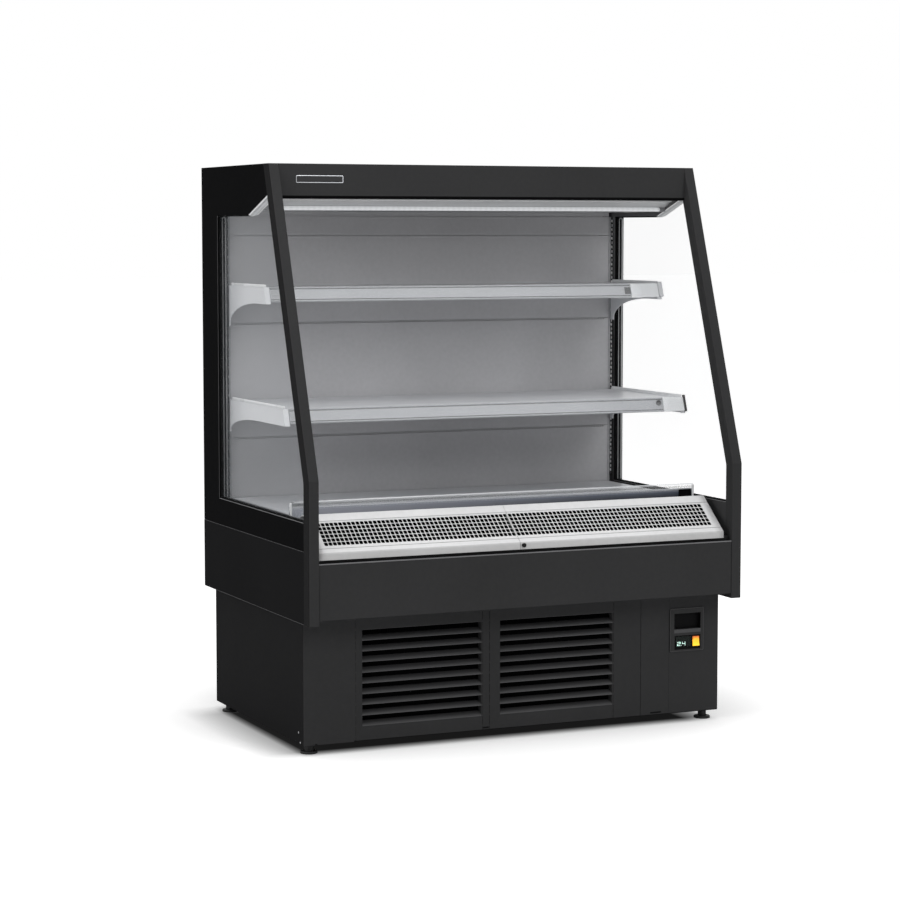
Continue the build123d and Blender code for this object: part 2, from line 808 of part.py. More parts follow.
def louvred_panel(x0, x1, opening):
    """Front panel with a framed opening and rolled blades."""
    gap = seam_gap / 2
    left, right = opening
    back = base_front_y + sheet
    rear = back + blade_profile[-1][0]
    panel = block(x0 + gap, x1 - gap, base_front_y, back, base_bottom + 2, base_top)
    flange = block(left - sheet, right + sheet, back, rear, louvre_bottom - sheet, louvre_top + sheet)
    clear = block(left, right, base_front_y - 1, rear + 1, louvre_bottom, louvre_top)
    panel = merged(panel, flange) - clear
    pitch = (louvre_top - louvre_bottom) / louvre_count
    for index in range(louvre_count):
        panel = merged(panel, louvre_blade(louvre_bottom + index * pitch, left, right))
    return panel


def service_panel():
    """Right front panel, cut out for the control."""
    left = service_seam_x + seam_gap / 2
    panel = block(left, base_half, base_front_y, base_front_y + sheet, base_bottom + 2, base_top)
    hole = block(bezel_x[0] + 4, bezel_x[1] - 4, base_front_y - 1, base_front_y + 3,
                 bezel_z[0] + 4, bezel_z[1] - 4)
    return panel - hole


def levelling_foot(x, y):
    """Foot with a round pad, a hexagonal collar and a stem in the frame."""
    low = rail_bottom + rail_size
    pad = rod(foot_radius, (x, y, 0), 7, (0, 0, 1))
    pad = fillet(pad.edges().filter_by(GeomType.CIRCLE), 1.5)
    collar = extrude(Plane.XY.offset(6) * Pos(x, y) * RegularPolygon(13, 6), amount=rail_bottom - 6)
    stem = rod(foot_stem_radius, (x, y, rail_bottom - 1), low - rail_bottom - 2, (0, 0, 1))
    return merged(pad, collar, stem)


save("base_frame", base_frame())
save("base_left_panel", base_left_panel())
save("base_right_panel", base_right_panel())
save("base_rear_grille", base_rear_grille())
left_louvres = louvred_panel(corner_sheet_end, louvre_seam_x, louvre_openings[0])
save("left_louvred_panel", left_louvres - finger_slot(*finger_slots[0]))
save("right_louvred_panel", louvred_panel(louvre_seam_x, service_seam_x, louvre_openings[1]))
save("service_panel", service_panel() - finger_slot(*finger_slots[1]))
for side, x in (("left", -foot_x), ("right", foot_x)):
    for end, y in (("front", foot_front_y), ("rear", foot_rear_y)):
        save(f"{side}_{end}_foot", levelling_foot(x, y))


# Control

def control_bezel():
    """Moulded bezel with an upper recess, and a lower face that holds the display and the switch."""
    face = base_front_y - bezel_stand
    flange = block(*bezel_x, face, base_front_y, *bezel_z)
    flange = fillet(flange.edges().filter_by(Axis.Y), 3)
    rear = base_front_y + control_depth
    box = block(bezel_x[0] + 5, bezel_x[1] - 5, base_front_y, rear, bezel_z[0] + 5, bezel_z[1] - 5)
    body = merged(flange, box)
    body -= block(*recess_x, face - 1, face + 14, *recess_z)
    body -= block(*face_x, face - 1, face + 2, face_z[0] + 3, face_z[1])
    body -= block(*lens_x, face - 1, face + 6, *lens_z)
    body -= block(*rocker_x, face - 1, face + 20, *rocker_z)
    return body


def display_lens():
    """Clear window over the temperature display."""
    face = base_front_y - bezel_stand
    lens = block(lens_x[0] + 0.2, lens_x[1] - 0.2, face + 1, face + 6, lens_z[0] + 0.2, lens_z[1] - 0.2)
    return rounded(lens, Axis.Y, 1)


def rocker_switch():
    """Rocker of the power switch, resting with its upper end pressed in."""
    pivot_y = base_front_y - bezel_stand + 7
    pivot_z = (rocker_z[0] + rocker_z[1]) / 2
    half = (rocker_z[1] - rocker_z[0]) / 2 - 1.6
    outline = [(-6, half), (-4.6, 0), (-6, -half), (3, -half), (6, -5), (6, 5), (3, half)]
    width = (rocker_x[1] - rocker_x[0]) / 2 - 0.5
    body = bar(outline, -width, width)
    middle = (rocker_x[0] + rocker_x[1]) / 2
    return Pos(middle, pivot_y, pivot_z) * Rot(-rocker_tilt, 0, 0) * body


save("control_bezel", control_bezel())
save("display_lens", display_lens())
save("rocker_switch", rocker_switch())


# Refrigeration unit in the base

def compressor():
    """Hermetic compressor: domed can, mounting plate and terminal box."""
    floor = rail_bottom + rail_size + sheet
    can = rod(88, (-260, 40, floor + 16), 190, (0, 0, 1))
    can = fillet(can.edges().filter_by(GeomType.CIRCLE), 34)
    plate = block(-370, -150, -60, 140, floor + 12, floor + 16)
    legs = [rod(13, (x, y, floor), 12, (0, 0, 1)) for x in (-350, -170) for y in (-40, 120)]
    seat = rod(60, (-260, 40, floor + 15), 20, (0, 0, 1))
    terminal = block(-190, -150, 10, 70, floor + 70, floor + 130)
    bridge = block(-200, -185, 20, 60, floor + 80, floor + 120)
    return merged(can, seat, plate, terminal, bridge, *legs)


def condenser_coil():
    """Finned coil behind the right louvres."""
    floor = rail_bottom + rail_size + sheet
    tubes = [(-270 + 36 * column, floor + 34 + 48 * row) for row in range(5) for column in range(2)]
    return finned_coil((-30, -288, floor), (256, -216, 318), 11, tubes)


def condenser_shroud():
    """Plate and ring that guide the air from the coil to the fan."""
    floor = rail_bottom + rail_size + sheet
    ring = condenser_fan_radius + fan_clearance
    box = block(-30, 256, -215.5, -160, floor, 318)
    box -= block(-28, 254, -216, -192, floor + 2, 316)
    box -= block(-31, 257, -190, -159, floor - 1, 319)
    box += rod(ring + 2, (condenser_fan_x, -191, condenser_fan_z), 30, (0, 1, 0))
    return box - rod(ring, (condenser_fan_x, -217, condenser_fan_z), 60, (0, 1, 0))


def condensate_tray():
    """Shallow open tray behind the compressor, where the defrost water dries off."""
    floor = rail_bottom + rail_size + sheet
    tray = block(-420, 420, 200, 330, floor, floor + 55)
    return tray - block(-418, 418, 202, 328, floor + 2, floor + 56)


def motors():
    """The two evaporator fan motors and the condenser fan motor."""
    result = []
    for x in evaporator_fan_x:
        arm = evaporator_fan_radius + 20
        result.append(fan_motor(x, evaporator_fan_y + 12, evaporator_fan_z, 24, 40, arm, evaporator_fan_y))
    result.append(fan_motor(condenser_fan_x, condenser_fan_y + 20, condenser_fan_z, 36, 55, 128, -190))
    return result


def power_inlet():
    """Appliance inlet on the rear sheet: a collar with three flat pins."""
    x, z = 520, 120
    body = block(x - 25, x + 25, base_rear_y, base_rear_y + 4, z - 14, z + 14)
    collar = block(x - 15, x + 15, base_rear_y, base_rear_y + 18, z - 11, z + 11)
    recess = block(x - 12.5, x + 12.5, base_rear_y + 4, base_rear_y + 19, z - 8.5, z + 8.5)
    body = merged(body, collar) - recess
    for dx, dz in ((-7, -1.5), (0, 2.5), (7, -1.5)):
        pin = block(x + dx - 1, x + dx + 1, base_rear_y + 3, base_rear_y + 16, z + dz - 2, z + dz + 2)
        body = merged(body, pin)
    return body


save("compressor", compressor())
save("condenser_coil", condenser_coil())
save("condenser_shroud", condenser_shroud())
save("condensate_tray", condensate_tray())
save("fan_motors", *motors())
save("power_inlet", power_inlet())
condenser_fan_centre = (condenser_fan_x, condenser_fan_y, condenser_fan_z)
save("condenser_fan", fan_blades(condenser_fan_radius, 26, 5, condenser_fan_centre, 34))
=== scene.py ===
import json

import bmesh
import bpy
import numpy as np
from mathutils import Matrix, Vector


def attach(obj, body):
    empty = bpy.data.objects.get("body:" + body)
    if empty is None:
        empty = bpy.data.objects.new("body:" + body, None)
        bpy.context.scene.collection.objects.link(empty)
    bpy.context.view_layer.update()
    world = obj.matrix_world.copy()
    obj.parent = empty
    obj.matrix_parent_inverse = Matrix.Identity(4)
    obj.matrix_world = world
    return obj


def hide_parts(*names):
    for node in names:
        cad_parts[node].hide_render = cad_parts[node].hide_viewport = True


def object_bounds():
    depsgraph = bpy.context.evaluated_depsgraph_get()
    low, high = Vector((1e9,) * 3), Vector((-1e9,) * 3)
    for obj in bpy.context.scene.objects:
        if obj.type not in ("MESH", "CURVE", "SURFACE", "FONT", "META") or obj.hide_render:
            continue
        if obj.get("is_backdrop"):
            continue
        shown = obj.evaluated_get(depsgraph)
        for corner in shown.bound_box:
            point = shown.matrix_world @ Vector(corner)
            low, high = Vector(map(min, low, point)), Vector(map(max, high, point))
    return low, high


# Open multideck display fridge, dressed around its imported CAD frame.
# Points are worked out in millimetres and become metres in putPiece; +X is right, -Y front, +Z up.

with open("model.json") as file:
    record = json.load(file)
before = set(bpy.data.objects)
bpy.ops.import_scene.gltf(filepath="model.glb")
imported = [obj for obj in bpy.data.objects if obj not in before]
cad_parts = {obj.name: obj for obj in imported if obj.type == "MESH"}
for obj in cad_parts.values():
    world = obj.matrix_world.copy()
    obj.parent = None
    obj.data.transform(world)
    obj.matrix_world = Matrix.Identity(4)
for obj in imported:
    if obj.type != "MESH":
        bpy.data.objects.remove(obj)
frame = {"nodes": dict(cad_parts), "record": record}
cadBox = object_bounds()
mm = 0.001
print("frame loaded:", len(frame["nodes"]), "nodes")

view = {"lens": 100.0, "place": (-2.809, -6.176, 1.328), "pitch": 84.99, "yaw": -24.04}
camera = bpy.data.objects.new("photoCamera", bpy.data.cameras.new("photoCamera"))
camera.data.lens = view["lens"]
camera.data.clip_end = 300
camera.location = view["place"]
camera.rotation_euler = np.radians((view["pitch"], 0, view["yaw"])).tolist()
bpy.context.scene.collection.objects.link(camera)
bpy.context.scene.camera = camera
bpy.context.scene.view_settings.view_transform = "Standard"


class Wire:  # a shader socket in Python arithmetic: each operator adds its Math node
    def __init__(self, tree, socket):
        self.tree = tree
        self.socket = socket

    def node(self, kind, settings=None, sockets=None, out=0):  # any other node; its settings come first
        made = self.tree.nodes.new("ShaderNode" + kind)
        for name, value in (settings or {}).items():
            if name == "stops":  # pairs of place and colour on a ramp
                ramp = made.color_ramp
                while len(ramp.elements) < len(value):
                    ramp.elements.new(1.0)
                for element, (place, colour) in zip(ramp.elements, value):
                    element.position = place
                    element.color = colour
            else:
                setattr(made, name, value)
        for key, value in (sockets or {}).items():
            if isinstance(value, Wire):
                self.tree.links.new(value.socket, made.inputs[key])
            else:
                made.inputs[key].default_value = value
        return Wire(self.tree, made.outputs[out])

    def maths(self, operation, *values):
        return self.node("Math", {"operation": operation}, dict(enumerate(values)))

    def __rsub__(self, other):
        return self.maths("SUBTRACT", other, self)


operators = {"__add__": "ADD", "__radd__": "ADD", "__sub__": "SUBTRACT", "__mul__": "MULTIPLY",
             "__rmul__": "MULTIPLY", "__truediv__": "DIVIDE"}
for operator, operation in operators.items():
    setattr(Wire, operator, lambda self, other, operation=operation: self.maths(operation, self, other))


lighting = {
    "ambient": 0.40,
    "lamps": {
        "keyLamp": {"place": (1.6, -4.6, 3.4), "aim": (0.0, -0.2, 0.7), "size": 2.6, "watts": 95},
        "topLamp": {"place": (-0.4, -0.6, 4.2), "aim": (0.0, 0.0, 0.0), "size": 3.2, "watts": 75},
        "leftLamp": {"place": (-4.1, -0.9, 1.9), "aim": (-0.4, 0.0, 0.9), "size": 2.4, "watts": 55},
    },
    "floor": {
        "half": 60, "paper": 0.8,
        "glow": (0.31, 0.70),  # what it adds to its own light for the eye, near the fridge and far from it
        "radii": (0.5, 1.2),
        # where the floor is painted dark as the base's shadow, and how dark
        "contactShadow": {"leftNear": (-0.61, -0.578), "leftFar": (-0.72, -0.60), "right": (0.52, 0.61),
                    "front": (-0.335, -0.265), "rear": (0.30, 0.42), "dark": 0.03},
    },
}


def aimedLamp(name, place, aim, size, watts):  # square soft lamp that looks at a point
    lamp = bpy.data.lights.new(name, "AREA")
    lamp.energy = watts
    lamp.size = size
    holder = bpy.data.objects.new(name, lamp)
    holder.location = place
    away = holder.location - type(holder.location)(aim)
    holder.rotation_euler = away.to_track_quat("Z", "Y").to_euler()
    bpy.context.scene.collection.objects.link(holder)


def seenShare(tree):  # 1 for rays from the camera, from gloss and through glass
    rays = tree.nodes.new("ShaderNodeLightPath")
    seen = Wire(tree, rays.outputs["Is Camera Ray"])
    for name in ("Is Glossy Ray", "Is Transmission Ray"):
        seen = seen.maths("MAXIMUM", seen, Wire(tree, rays.outputs[name]))
    return seen


def whiteWorld(ambient):  # white to the eye, in gloss and through glass; a plain grey light otherwise
    world = bpy.data.worlds.new("studio")
    bpy.context.scene.world = world
    world.use_nodes = True
    tree = world.node_tree
    back = tree.nodes["Background"]
    strength = seenShare(tree) * (1 - ambient) + ambient
    back.inputs["Color"].default_value = (1, 1, 1, 1)
    tree.links.new(strength.socket, back.inputs["Strength"])


def paintedShadowUnderBase(place, contactShadow):  # 1 on the floor well under the base, 0 outside it: where the base's shadow is painted
    x, y = along(place, "X"), along(place, "Y")
    left = ranged(x, *contactShadow["leftNear"], 0.0, 0.5) + ranged(x, *contactShadow["leftFar"], 0.0, 0.5)
    front = ranged(y, *contactShadow["front"])
    return left * front * ranged(x, *contactShadow["right"], 1.0, 0.0) * ranged(y, *contactShadow["rear"], 1.0, 0.0)


def studioFloor(half, paper, glow, radii, contactShadow):  # white sheet without a horizon, with a painted shadow under the base
    floor = bpy.data.meshes.new("floor")
    corners = [(-half, -half, 0), (half, -half, 0), (half, half, 0), (-half, half, 0)]
    floor.from_pydata(corners, [], [(0, 1, 2, 3)])
    sheet = bpy.data.objects.new("floor", floor)
    bpy.context.scene.collection.objects.link(sheet)
    sheet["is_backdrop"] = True
    material = bpy.data.materials.new("floorPaper")
    material.use_nodes = True
    tree = material.node_tree
    tree.nodes.remove(tree.nodes["Principled BSDF"])
    seen = seenShare(tree)
    place = Wire(tree, tree.nodes.new("ShaderNodeTexCoord").outputs["Object"])
    away = place.node("VectorMath", {"operation": "LENGTH"}, {0: place}, 1)
    stops = {0: away, 1: radii[0], 2: radii[1], 3: glow[0], 4: glow[1]}
    added = away.node("MapRange", {"interpolation_type": "SMOOTHSTEP"}, stops)
    lit = 1 - paintedShadowUnderBase(place, contactShadow) * (1 - contactShadow["dark"])
    colour = blended(lit, (0, 0, 0, 1), (paper, paper, paper, 1))
    diffuse = seen.node("BsdfDiffuse", None, {"Color": colour})
    shine = seen.node("Emission", None, {"Strength": seen * added * lit})
    total = seen.node("AddShader", None, {0: diffuse, 1: shine})
    tree.links.new(total.socket, tree.nodes["Material Output"].inputs["Surface"])
    floor.materials.append(material)


def startFinish(name, gloss=0.5, **fixed):  # a Principled material with fixed sockets, and Object coordinates
    material = bpy.data.materials.new(name)
    material.use_nodes = True
    tree = material.node_tree
    inputs = tree.nodes["Principled BSDF"].inputs
    inputs["Specular IOR Level"].default_value = gloss
    for socket, value in fixed.items():
        inputs[socket.replace("_", " ")].default_value = value
    place = Wire(tree, tree.nodes.new("ShaderNodeTexCoord").outputs["Object"])
    return material, place


def fed(material, **wires):  # the material with wires linked into its sockets
    shader = material.node_tree.nodes["Principled BSDF"]
    for socket, wire in wires.items():
        wire.tree.links.new(wire.socket, shader.inputs[socket.replace("_", " ")])
    return material


def grain(place, size, detail=2.0):  # noise whose lumps are about size metres across, 0 to 1
    return place.node("TexNoise", None, {"Vector": place, "Scale": 0.5 / size, "Detail": detail})


def cells(place, size, out=0):  # cells about size metres across: distance, or colour with out=1
    return place.node("TexVoronoi", None, {"Vector": place, "Scale": 1.0 / size}, out)


def stretched(place, x, y, z):  # the same coordinates, squeezed along each axis
    return place.node("Mapping", None, {"Vector": place, "Scale": (x, y, z)})


def along(place, axis):  # one coordinate, in metres
    return place.node("SeparateXYZ", None, {"Vector": place}, "XYZ".index(axis))


def ranged(wire, start, end, low=0.0, high=1.0):  # start..end opened out to low..high, and held there beyond
    return wire.node("MapRange", None, {0: wire, 1: start, 2: end, 3: low, 4: high})


def spread(wire, low=0.0, high=1.0):  # 0..1 noise, mostly between 0.3 and 0.7, opened out to low..high
    return ranged(wire, 0.3, 0.7, low, high)


def blended(amount, first, second):  # two colours mixed by a wire
    sockets = {0: amount, 6: first, 7: second}
    return amount.node("Mix", {"data_type": "RGBA"}, sockets, 2)


def embossed(height, depth):  # normals of a height from 0 to 1, depth metres high
    return height.node("Bump", None, {"Strength": 1.0, "Distance": depth, "Height": height})


def shade(colour, factor=1.0):
    return (colour[0] * factor, colour[1] * factor, colour[2] * factor, 1)


def toned(amount, colour, low, high):  # one colour between two brightnesses
    return blended(amount, shade(colour, low), shade(colour, high))


def wave(place, operation, pitch):  # sine or cosine along X
    phase = along(place, "X") * (2 * np.pi / pitch)
    return phase.maths(operation, phase)


def between(wire, low, high, ease=0.0003):  # 1 from low to high, 0 outside
    return ranged(wire, low - ease, low) * ranged(wire, high, high + ease, 1.0, 0.0)


zones = {  # each zone is where all its slabs overlap: coordinate, from, to and ease, in metres
    "innerFacesPaintedLight": [("middle", 0.0, 0.5932)],  # of the ends, towards each other; painted lighter than the outer faces as painted light inside the cabinet
    "lampSidePaintedLight": [("middle", 0.0, 0.5932), ("Z", 1.35, 2.0, 0.35)],  # the upper part of those, painted lighter still as painted light from the canopy lamp
    "baseSideShade": [("middle", 0.6026, 0.7)],  # of the base's side sheets, painted darker than their fronts as painted shade
    # the posts' outer side faces, painted darker than their fronts as painted shade
    "postSideShade": [("middle", 0.6192, 0.7)],
    "canopyCeilingShade": [("Y", -0.0245, 0.5, 0.0005), ("Z", 1.36, 1.3926)],  # behind the lamp, painted darker as painted shade
    # the grille's lip face and its two creases are painted darker than the slope: painted shade
    "lipFaceShade": [("Y", -0.41, -0.3985, 0.0008)],
    "lowCreaseShade": [("slope", 0.0160, 0.0177)],
    "highCreaseShade": [("slope", 0.1128, 0.1145)],
    # at the windows' top corner the black frame's reveal, spacer and gasket are painted near white: painted
    # light
    "revealPaintedLight": [("corner", -0.0006, 0.0004), ("middle", 0.5928, 0.6194), ("Z", 1.3655, 1.43)],
    "cornerSealPaintedLight": [("corner", -0.0060, 0.0010), ("Z", 1.3655, 1.43)],
    "bezelFrame": [("Y", -0.3220, -0.3205)],
    "bezelBar": [("Z", 0.2452, 0.2548), ("X", 0.466, 0.547)],  # between its recess and its display
    # the louvre blades' lower noses are painted lighter: painted highlights
    "bladeNoseHighlights": [("blade", -1.0, 0.02, 0.28), ("Y", -0.3176, -0.29, 0.0002)],
    # the uprights' dark strip is painted shade, and the pale marks are painted highlights at the slots
    "slotStripShade": [("middle", 0.5855, 0.5930)],
    "slotMarkHighlights": [("middle", 0.5872, 0.5908), ("slot", 0.2, 0.78, 0.02), ("Y", 0.280, 0.2885),
                  ("Z", 0.622, 1.362)],
}
slanted = {"slope": (0.7843, 0.6203, 0.01256), "corner": (0.3234, 0.9463, 1.30357)}  # y share, z share, start
repeated = {"blade": (0.064, 0.027667), "slot": (0.0, 0.0125)}  # start and pitch up the height


def coordinate(place, name):
    if name == "middle":  # distance from the fridge's middle plane
        return place.maths("ABSOLUTE", along(place, "X"))
    if name in slanted:  # the grille's slope, or square to the windows' top corner
        y, z, start = slanted[name]
        return along(place, "Y") * y + along(place, "Z") * z - start
    if name in repeated:  # 0 to 1 in every pitch
        start, pitch = repeated[name]
        share = (along(place, "Z") - start) / pitch
        return share.maths("FRACT", share)
    return along(place, name)


def zoneShare(place, name):  # 1 inside a zone, 0 outside it
    first, *others = [between(coordinate(place, key), *limits) for key, *limits in zones[name]]
    for other in others:
        first = first * other
    return first


def powderCoat(name, colour, rough, gloss, texture=0.000012, painted=()):  # orange peel, clouds, dust
    material, place = startFinish(name, gloss)
    peel = grain(place, 0.0011, 1.0)
    clouds = grain(place, 0.22, 3.0)
    dust = grain(place, 0.006, 4.0)
    mix = spread(clouds * 0.7 + dust * 0.3)
    paint = toned(mix, colour, 0.9, 1.1)
    for zone, other in painted:
        paint = blended(zoneShare(place, zone), paint, toned(mix, other, 0.9, 1.1))
    return fed(material, Base_Color=paint, Roughness=spread(dust, rough - 0.05, rough + 0.05),
               Normal=embossed(peel, texture))


def slottedPaint(name, colour, dark, mark):  # upright with a column of short pale marks, painted highlights of its slots, on a dark strip of painted shade
    material, place = startFinish(name, 0.2)
    dust = grain(place, 0.006, 4.0)
    paint = toned(spread(dust), colour, 0.9, 1.1)
    paint = blended(zoneShare(place, "slotStripShade"), paint, shade(dark))
    return fed(material, Base_Color=blended(zoneShare(place, "slotMarkHighlights"), paint, shade(mark)),
               Roughness=spread(dust, 0.4, 0.5), Normal=embossed(grain(place, 0.0011, 1.0), 0.000012))


def zincSheet(name, colour, cell=0.011):  # galvanised sheet: angular spangle cells of two tones
    material, place = startFinish(name, Metallic=1.0)
    spangle = cells(place, cell, 1)
    tone = spangle.node("SeparateColor", None, {"Color": spangle})
    return fed(material, Base_Color=toned(tone, colour, 0.82, 1.12), Roughness=tone * 0.16 + 0.34,
               Normal=embossed(grain(place, 0.004, 3.0) * 0.6 + tone * 0.4, 0.00002))


def drawnMetal(name, colour, rough, axis, metallic=1.0):  # metal with fine drawing lines along one axis
    material, place = startFinish(name, Metallic=metallic)
    squeeze = [1.0, 1.0, 1.0]
    squeeze["XYZ".index(axis)] = 0.02
    lines = grain(stretched(place, *squeeze), 0.0006, 2.0)
    stains = grain(place, 0.03, 3.0)
    return fed(material, Base_Color=toned(spread(lines * 0.5 + stains * 0.5), colour, 0.84, 1.1),
               Roughness=spread(lines, rough - 0.08, rough + 0.08), Normal=embossed(lines, 0.00001))


def moulded(name, colour, rough, gloss=0.4, depth=0.00002, size=0.0007, painted=()):  # spark-eroded
    material, place = startFinish(name, gloss)
    pits = cells(place, size)
    wear = grain(place, 0.04, 4.0)
    tint = toned(spread(wear), colour, 0.88, 1.12)
    for zone, other in painted:
        tint = blended(zoneShare(place, zone), tint, shade(other))
    return fed(material, Base_Color=tint, Roughness=spread(wear, rough - 0.06, rough + 0.06),
               Normal=embossed(pits, depth))


def extruded(name, colour, rough):  # satin profile with faint die lines along X
    material, place = startFinish(name, 0.35)
    lines = grain(stretched(place, 0.01, 1.0, 1.0), 0.0012, 2.0)
    haze = grain(place, 0.08, 3.0)
    return fed(material, Base_Color=toned(spread(lines * 0.4 + haze * 0.6), colour, 0.92, 1.07),
               Roughness=spread(haze, rough - 0.06, rough + 0.06), Normal=embossed(lines, 0.00001))


def seeThrough(name, colour, least, edge, rough, streaks=(1.0, 1.0, 1.0), gloss=0.5):  # mixed with clear
    material, place = startFinish(name, gloss, Base_Color=shade(colour), Roughness=rough)
    tree = material.node_tree
    facing = place.node("LayerWeight", None, {"Blend": 0.35}, 0)
    smears = spread(grain(stretched(place, *streaks), 0.05, 4.0), 0.93, 1.07)
    solid = (facing * edge + least) * smears
    clear = place.node("BsdfTransparent", None, {"Color": (1, 1, 1, 1)})
    body = Wire(tree, tree.nodes["Principled BSDF"].outputs[0])
    both = place.node("MixShader", None, {0: solid, 1: clear, 2: body})
    tree.links.new(both.socket, tree.nodes["Material Output"].inputs["Surface"])
    return fed(material, Normal=embossed(grain(place, 0.3, 1.0), 0.0002))


def smokedStrip(name, low, high, face, rim, pale):  # paler to the left as painted light; dark foot as painted shade, dots, bright top edge as a painted highlight
    material, place = startFinish(name, 0.4)
    height = ranged(along(place, "Z"), low * mm, high * mm)
    dots = wave(place, "SINE", 0.004) * 0.5 + 0.5
    band = ranged(height, 0.62, 0.66) * ranged(height, 0.80, 0.84, 1.0, 0.0)
    haze = spread(grain(place, 0.05, 3.0), -0.03, 0.03)
    stops = [(0.0, shade(face, 0.25)), (0.35, shade(face, 0.55)), (0.6, shade(face)),
             (0.92, shade(face, 1.15)), (0.955, shade(rim))]
    ramp = height.node("ValToRGB", {"stops": stops}, {0: height + haze})
    ramp = blended(ranged(along(place, "X"), -0.55, 0.35, 0.75, 0.0), ramp, shade(pale))
    return fed(material, Base_Color=blended(band * dots * 0.45, ramp, shade(rim, 0.7)),
               Roughness=spread(grain(place, 0.03, 2.0), 0.14, 0.24))


def foamCore(name, colour):  # cut rigid foam: closed cells and darker flecks
    material, place = startFinish(name, 0.2)
    bubbles = cells(place, 0.0016)
    flecks = grain(place, 0.01, 5.0)
    return fed(material, Base_Color=toned(spread(flecks * 0.6 + bubbles * 0.4), colour, 0.75, 1.1),
               Roughness=spread(flecks, 0.75, 0.95), Normal=embossed(bubbles, 0.0004))


def litDiffuser(name, colour, power):  # opal strip with a faint row of brighter spots
    material, place = startFinish(name, Base_Color=shade(colour, 0.4), Emission_Strength=power)
    haze = grain(place, 0.02, 3.0)
    return fed(material, Emission_Color=toned(wave(place, "COSINE", 0.016) * 0.35 + 0.5, colour, 0.9, 1.06),
               Roughness=spread(haze, 0.3, 0.5))


def litRocker(name, low, high, middle):  # glowing rocker, yellow below to deep orange above
    material, place = startFinish(name, Roughness=0.22, Emission_Strength=0.75)
    share = ranged(along(place, "Z"), low, high)
    mottle = spread(grain(place, 0.003, 3.0), -0.1, 0.1)
    stops = [(0.0, (1.0, 0.62, 0.03, 1)), (middle, (1.0, 0.42, 0.01, 1)), (1.0, (0.45, 0.08, 0.005, 1))]
    glow = share.node("ValToRGB", {"stops": stops}, {0: share + mottle})
    return fed(material, Base_Color=glow, Emission_Color=glow)


def litSegments(name, colour):  # display segments, a little uneven in brightness
    material, place = startFinish(name, Roughness=0.3, Emission_Strength=0.9)
    lit = toned(spread(grain(place, 0.004, 2.0)), colour, 0.75, 1.0)
    return fed(material, Base_Color=lit, Emission_Color=lit)


whiteWorld(lighting["ambient"])
for lampName, lampSettings in lighting["lamps"].items():
    aimedLamp(lampName, **lampSettings)
studioFloor(**lighting["floor"])
print("camera, lamps and floor ready")

finishes = {
    # the posts' side faces are painted darker: painted shade
    "charcoal_paint": powderCoat("charcoalPaint", (0.0355, 0.0355, 0.0363), 0.6, 0.008, painted=[
        ("postSideShade", (0.012, 0.012, 0.0125))]),
    # the inner faces' grey and the upper part's paler grey are painted light
    "black_panel": powderCoat("blackPanelPaint", (0.0045, 0.0045, 0.0048), 0.62, 0.002, painted=[
        ("innerFacesPaintedLight", (0.048, 0.048, 0.049)), ("lampSidePaintedLight", (0.13, 0.13, 0.133)),
        # the near-white reveal is painted light
        ("revealPaintedLight", (0.98, 0.98, 0.98))]),
    "light_grey_paint": powderCoat("lightGreyPaint", (0.60, 0.61, 0.63), 0.38, 0.4),
    "duct_grey_paint": powderCoat("ductGreyPaint", (0.45, 0.45, 0.465), 0.42, 0.3),
    # the darker lip face and creases are painted shade
    "grille_paint": powderCoat("grillePaint", (0.68, 0.68, 0.685), 0.36, 0.4, painted=[
        ("lipFaceShade", (0.48, 0.48, 0.48)), ("lowCreaseShade", (0.34, 0.34, 0.345)),
        ("highCreaseShade", (0.34, 0.34, 0.345))]),
    "zinc_sheet": zincSheet("zincSheet", (0.55, 0.56, 0.57)),
    "foam": foamCore("rigidFoam", (0.78, 0.70, 0.46)),
    "pane_glass": seeThrough("paneGlass", (0.75, 0.82, 0.88), 0.004, 0.02, 0.03),
    "clear_strip": seeThrough("clearStrip", (0.90, 0.92, 0.94), 0.08, 0.5, 0.12, (0.1, 1.0, 1.0)),
    "smoked_strip": smokedStrip("smokedStrip", 600, 624, (0.075, 0.088, 0.115), (0.62, 0.64, 0.68),
                                (0.30, 0.31, 0.35)),
    # the pale corner of the spacer and the gasket is painted light
    "black_spacer": moulded("blackSpacer", (0.006, 0.006, 0.0063), 0.6, 0.02, painted=[
        ("cornerSealPaintedLight", (0.72, 0.73, 0.74))]),
    "gasket_rubber": moulded("gasketRubber", (0.008, 0.008, 0.0083), 0.75, 0.02, 0.00003, 0.0012, [
        ("cornerSealPaintedLight", (0.72, 0.73, 0.74))]),
    "black_plastic": moulded("blackPlastic", (0.012, 0.012, 0.0125), 0.5, 0.1),
    "rail_grey": extruded("railPlastic", (0.38, 0.39, 0.41), 0.34),
    "lamp_white": litDiffuser("lampDiffuser", (0.96, 0.98, 1.0), 0.40),
    "honeycomb_plastic": moulded("honeycombPlastic", (0.04, 0.04, 0.042), 0.5),
    "coil_fins": drawnMetal("coilFins", (0.60, 0.61, 0.62), 0.36, "Z"),
    "motor_metal": moulded("motorCasing", (0.05, 0.05, 0.055), 0.45, 0.5, 0.00005, 0.0015),
    "compressor_black": powderCoat("compressorEnamel", (0.014, 0.014, 0.015), 0.24, 0.5, 0.00003),
    "fan_plastic": moulded("fanPlastic", (0.03, 0.03, 0.032), 0.4, 0.4),
    "display_glass": seeThrough("displayWindow", (0.007, 0.011, 0.009), 0.85, 0.15, 0.12, gloss=0.1),
    "switch_yellow": litRocker("litRocker", 0.206, 0.233, 0.62),
    "foot_black": moulded("footPlastic", (0.016, 0.016, 0.0165), 0.5, 0.2),
}
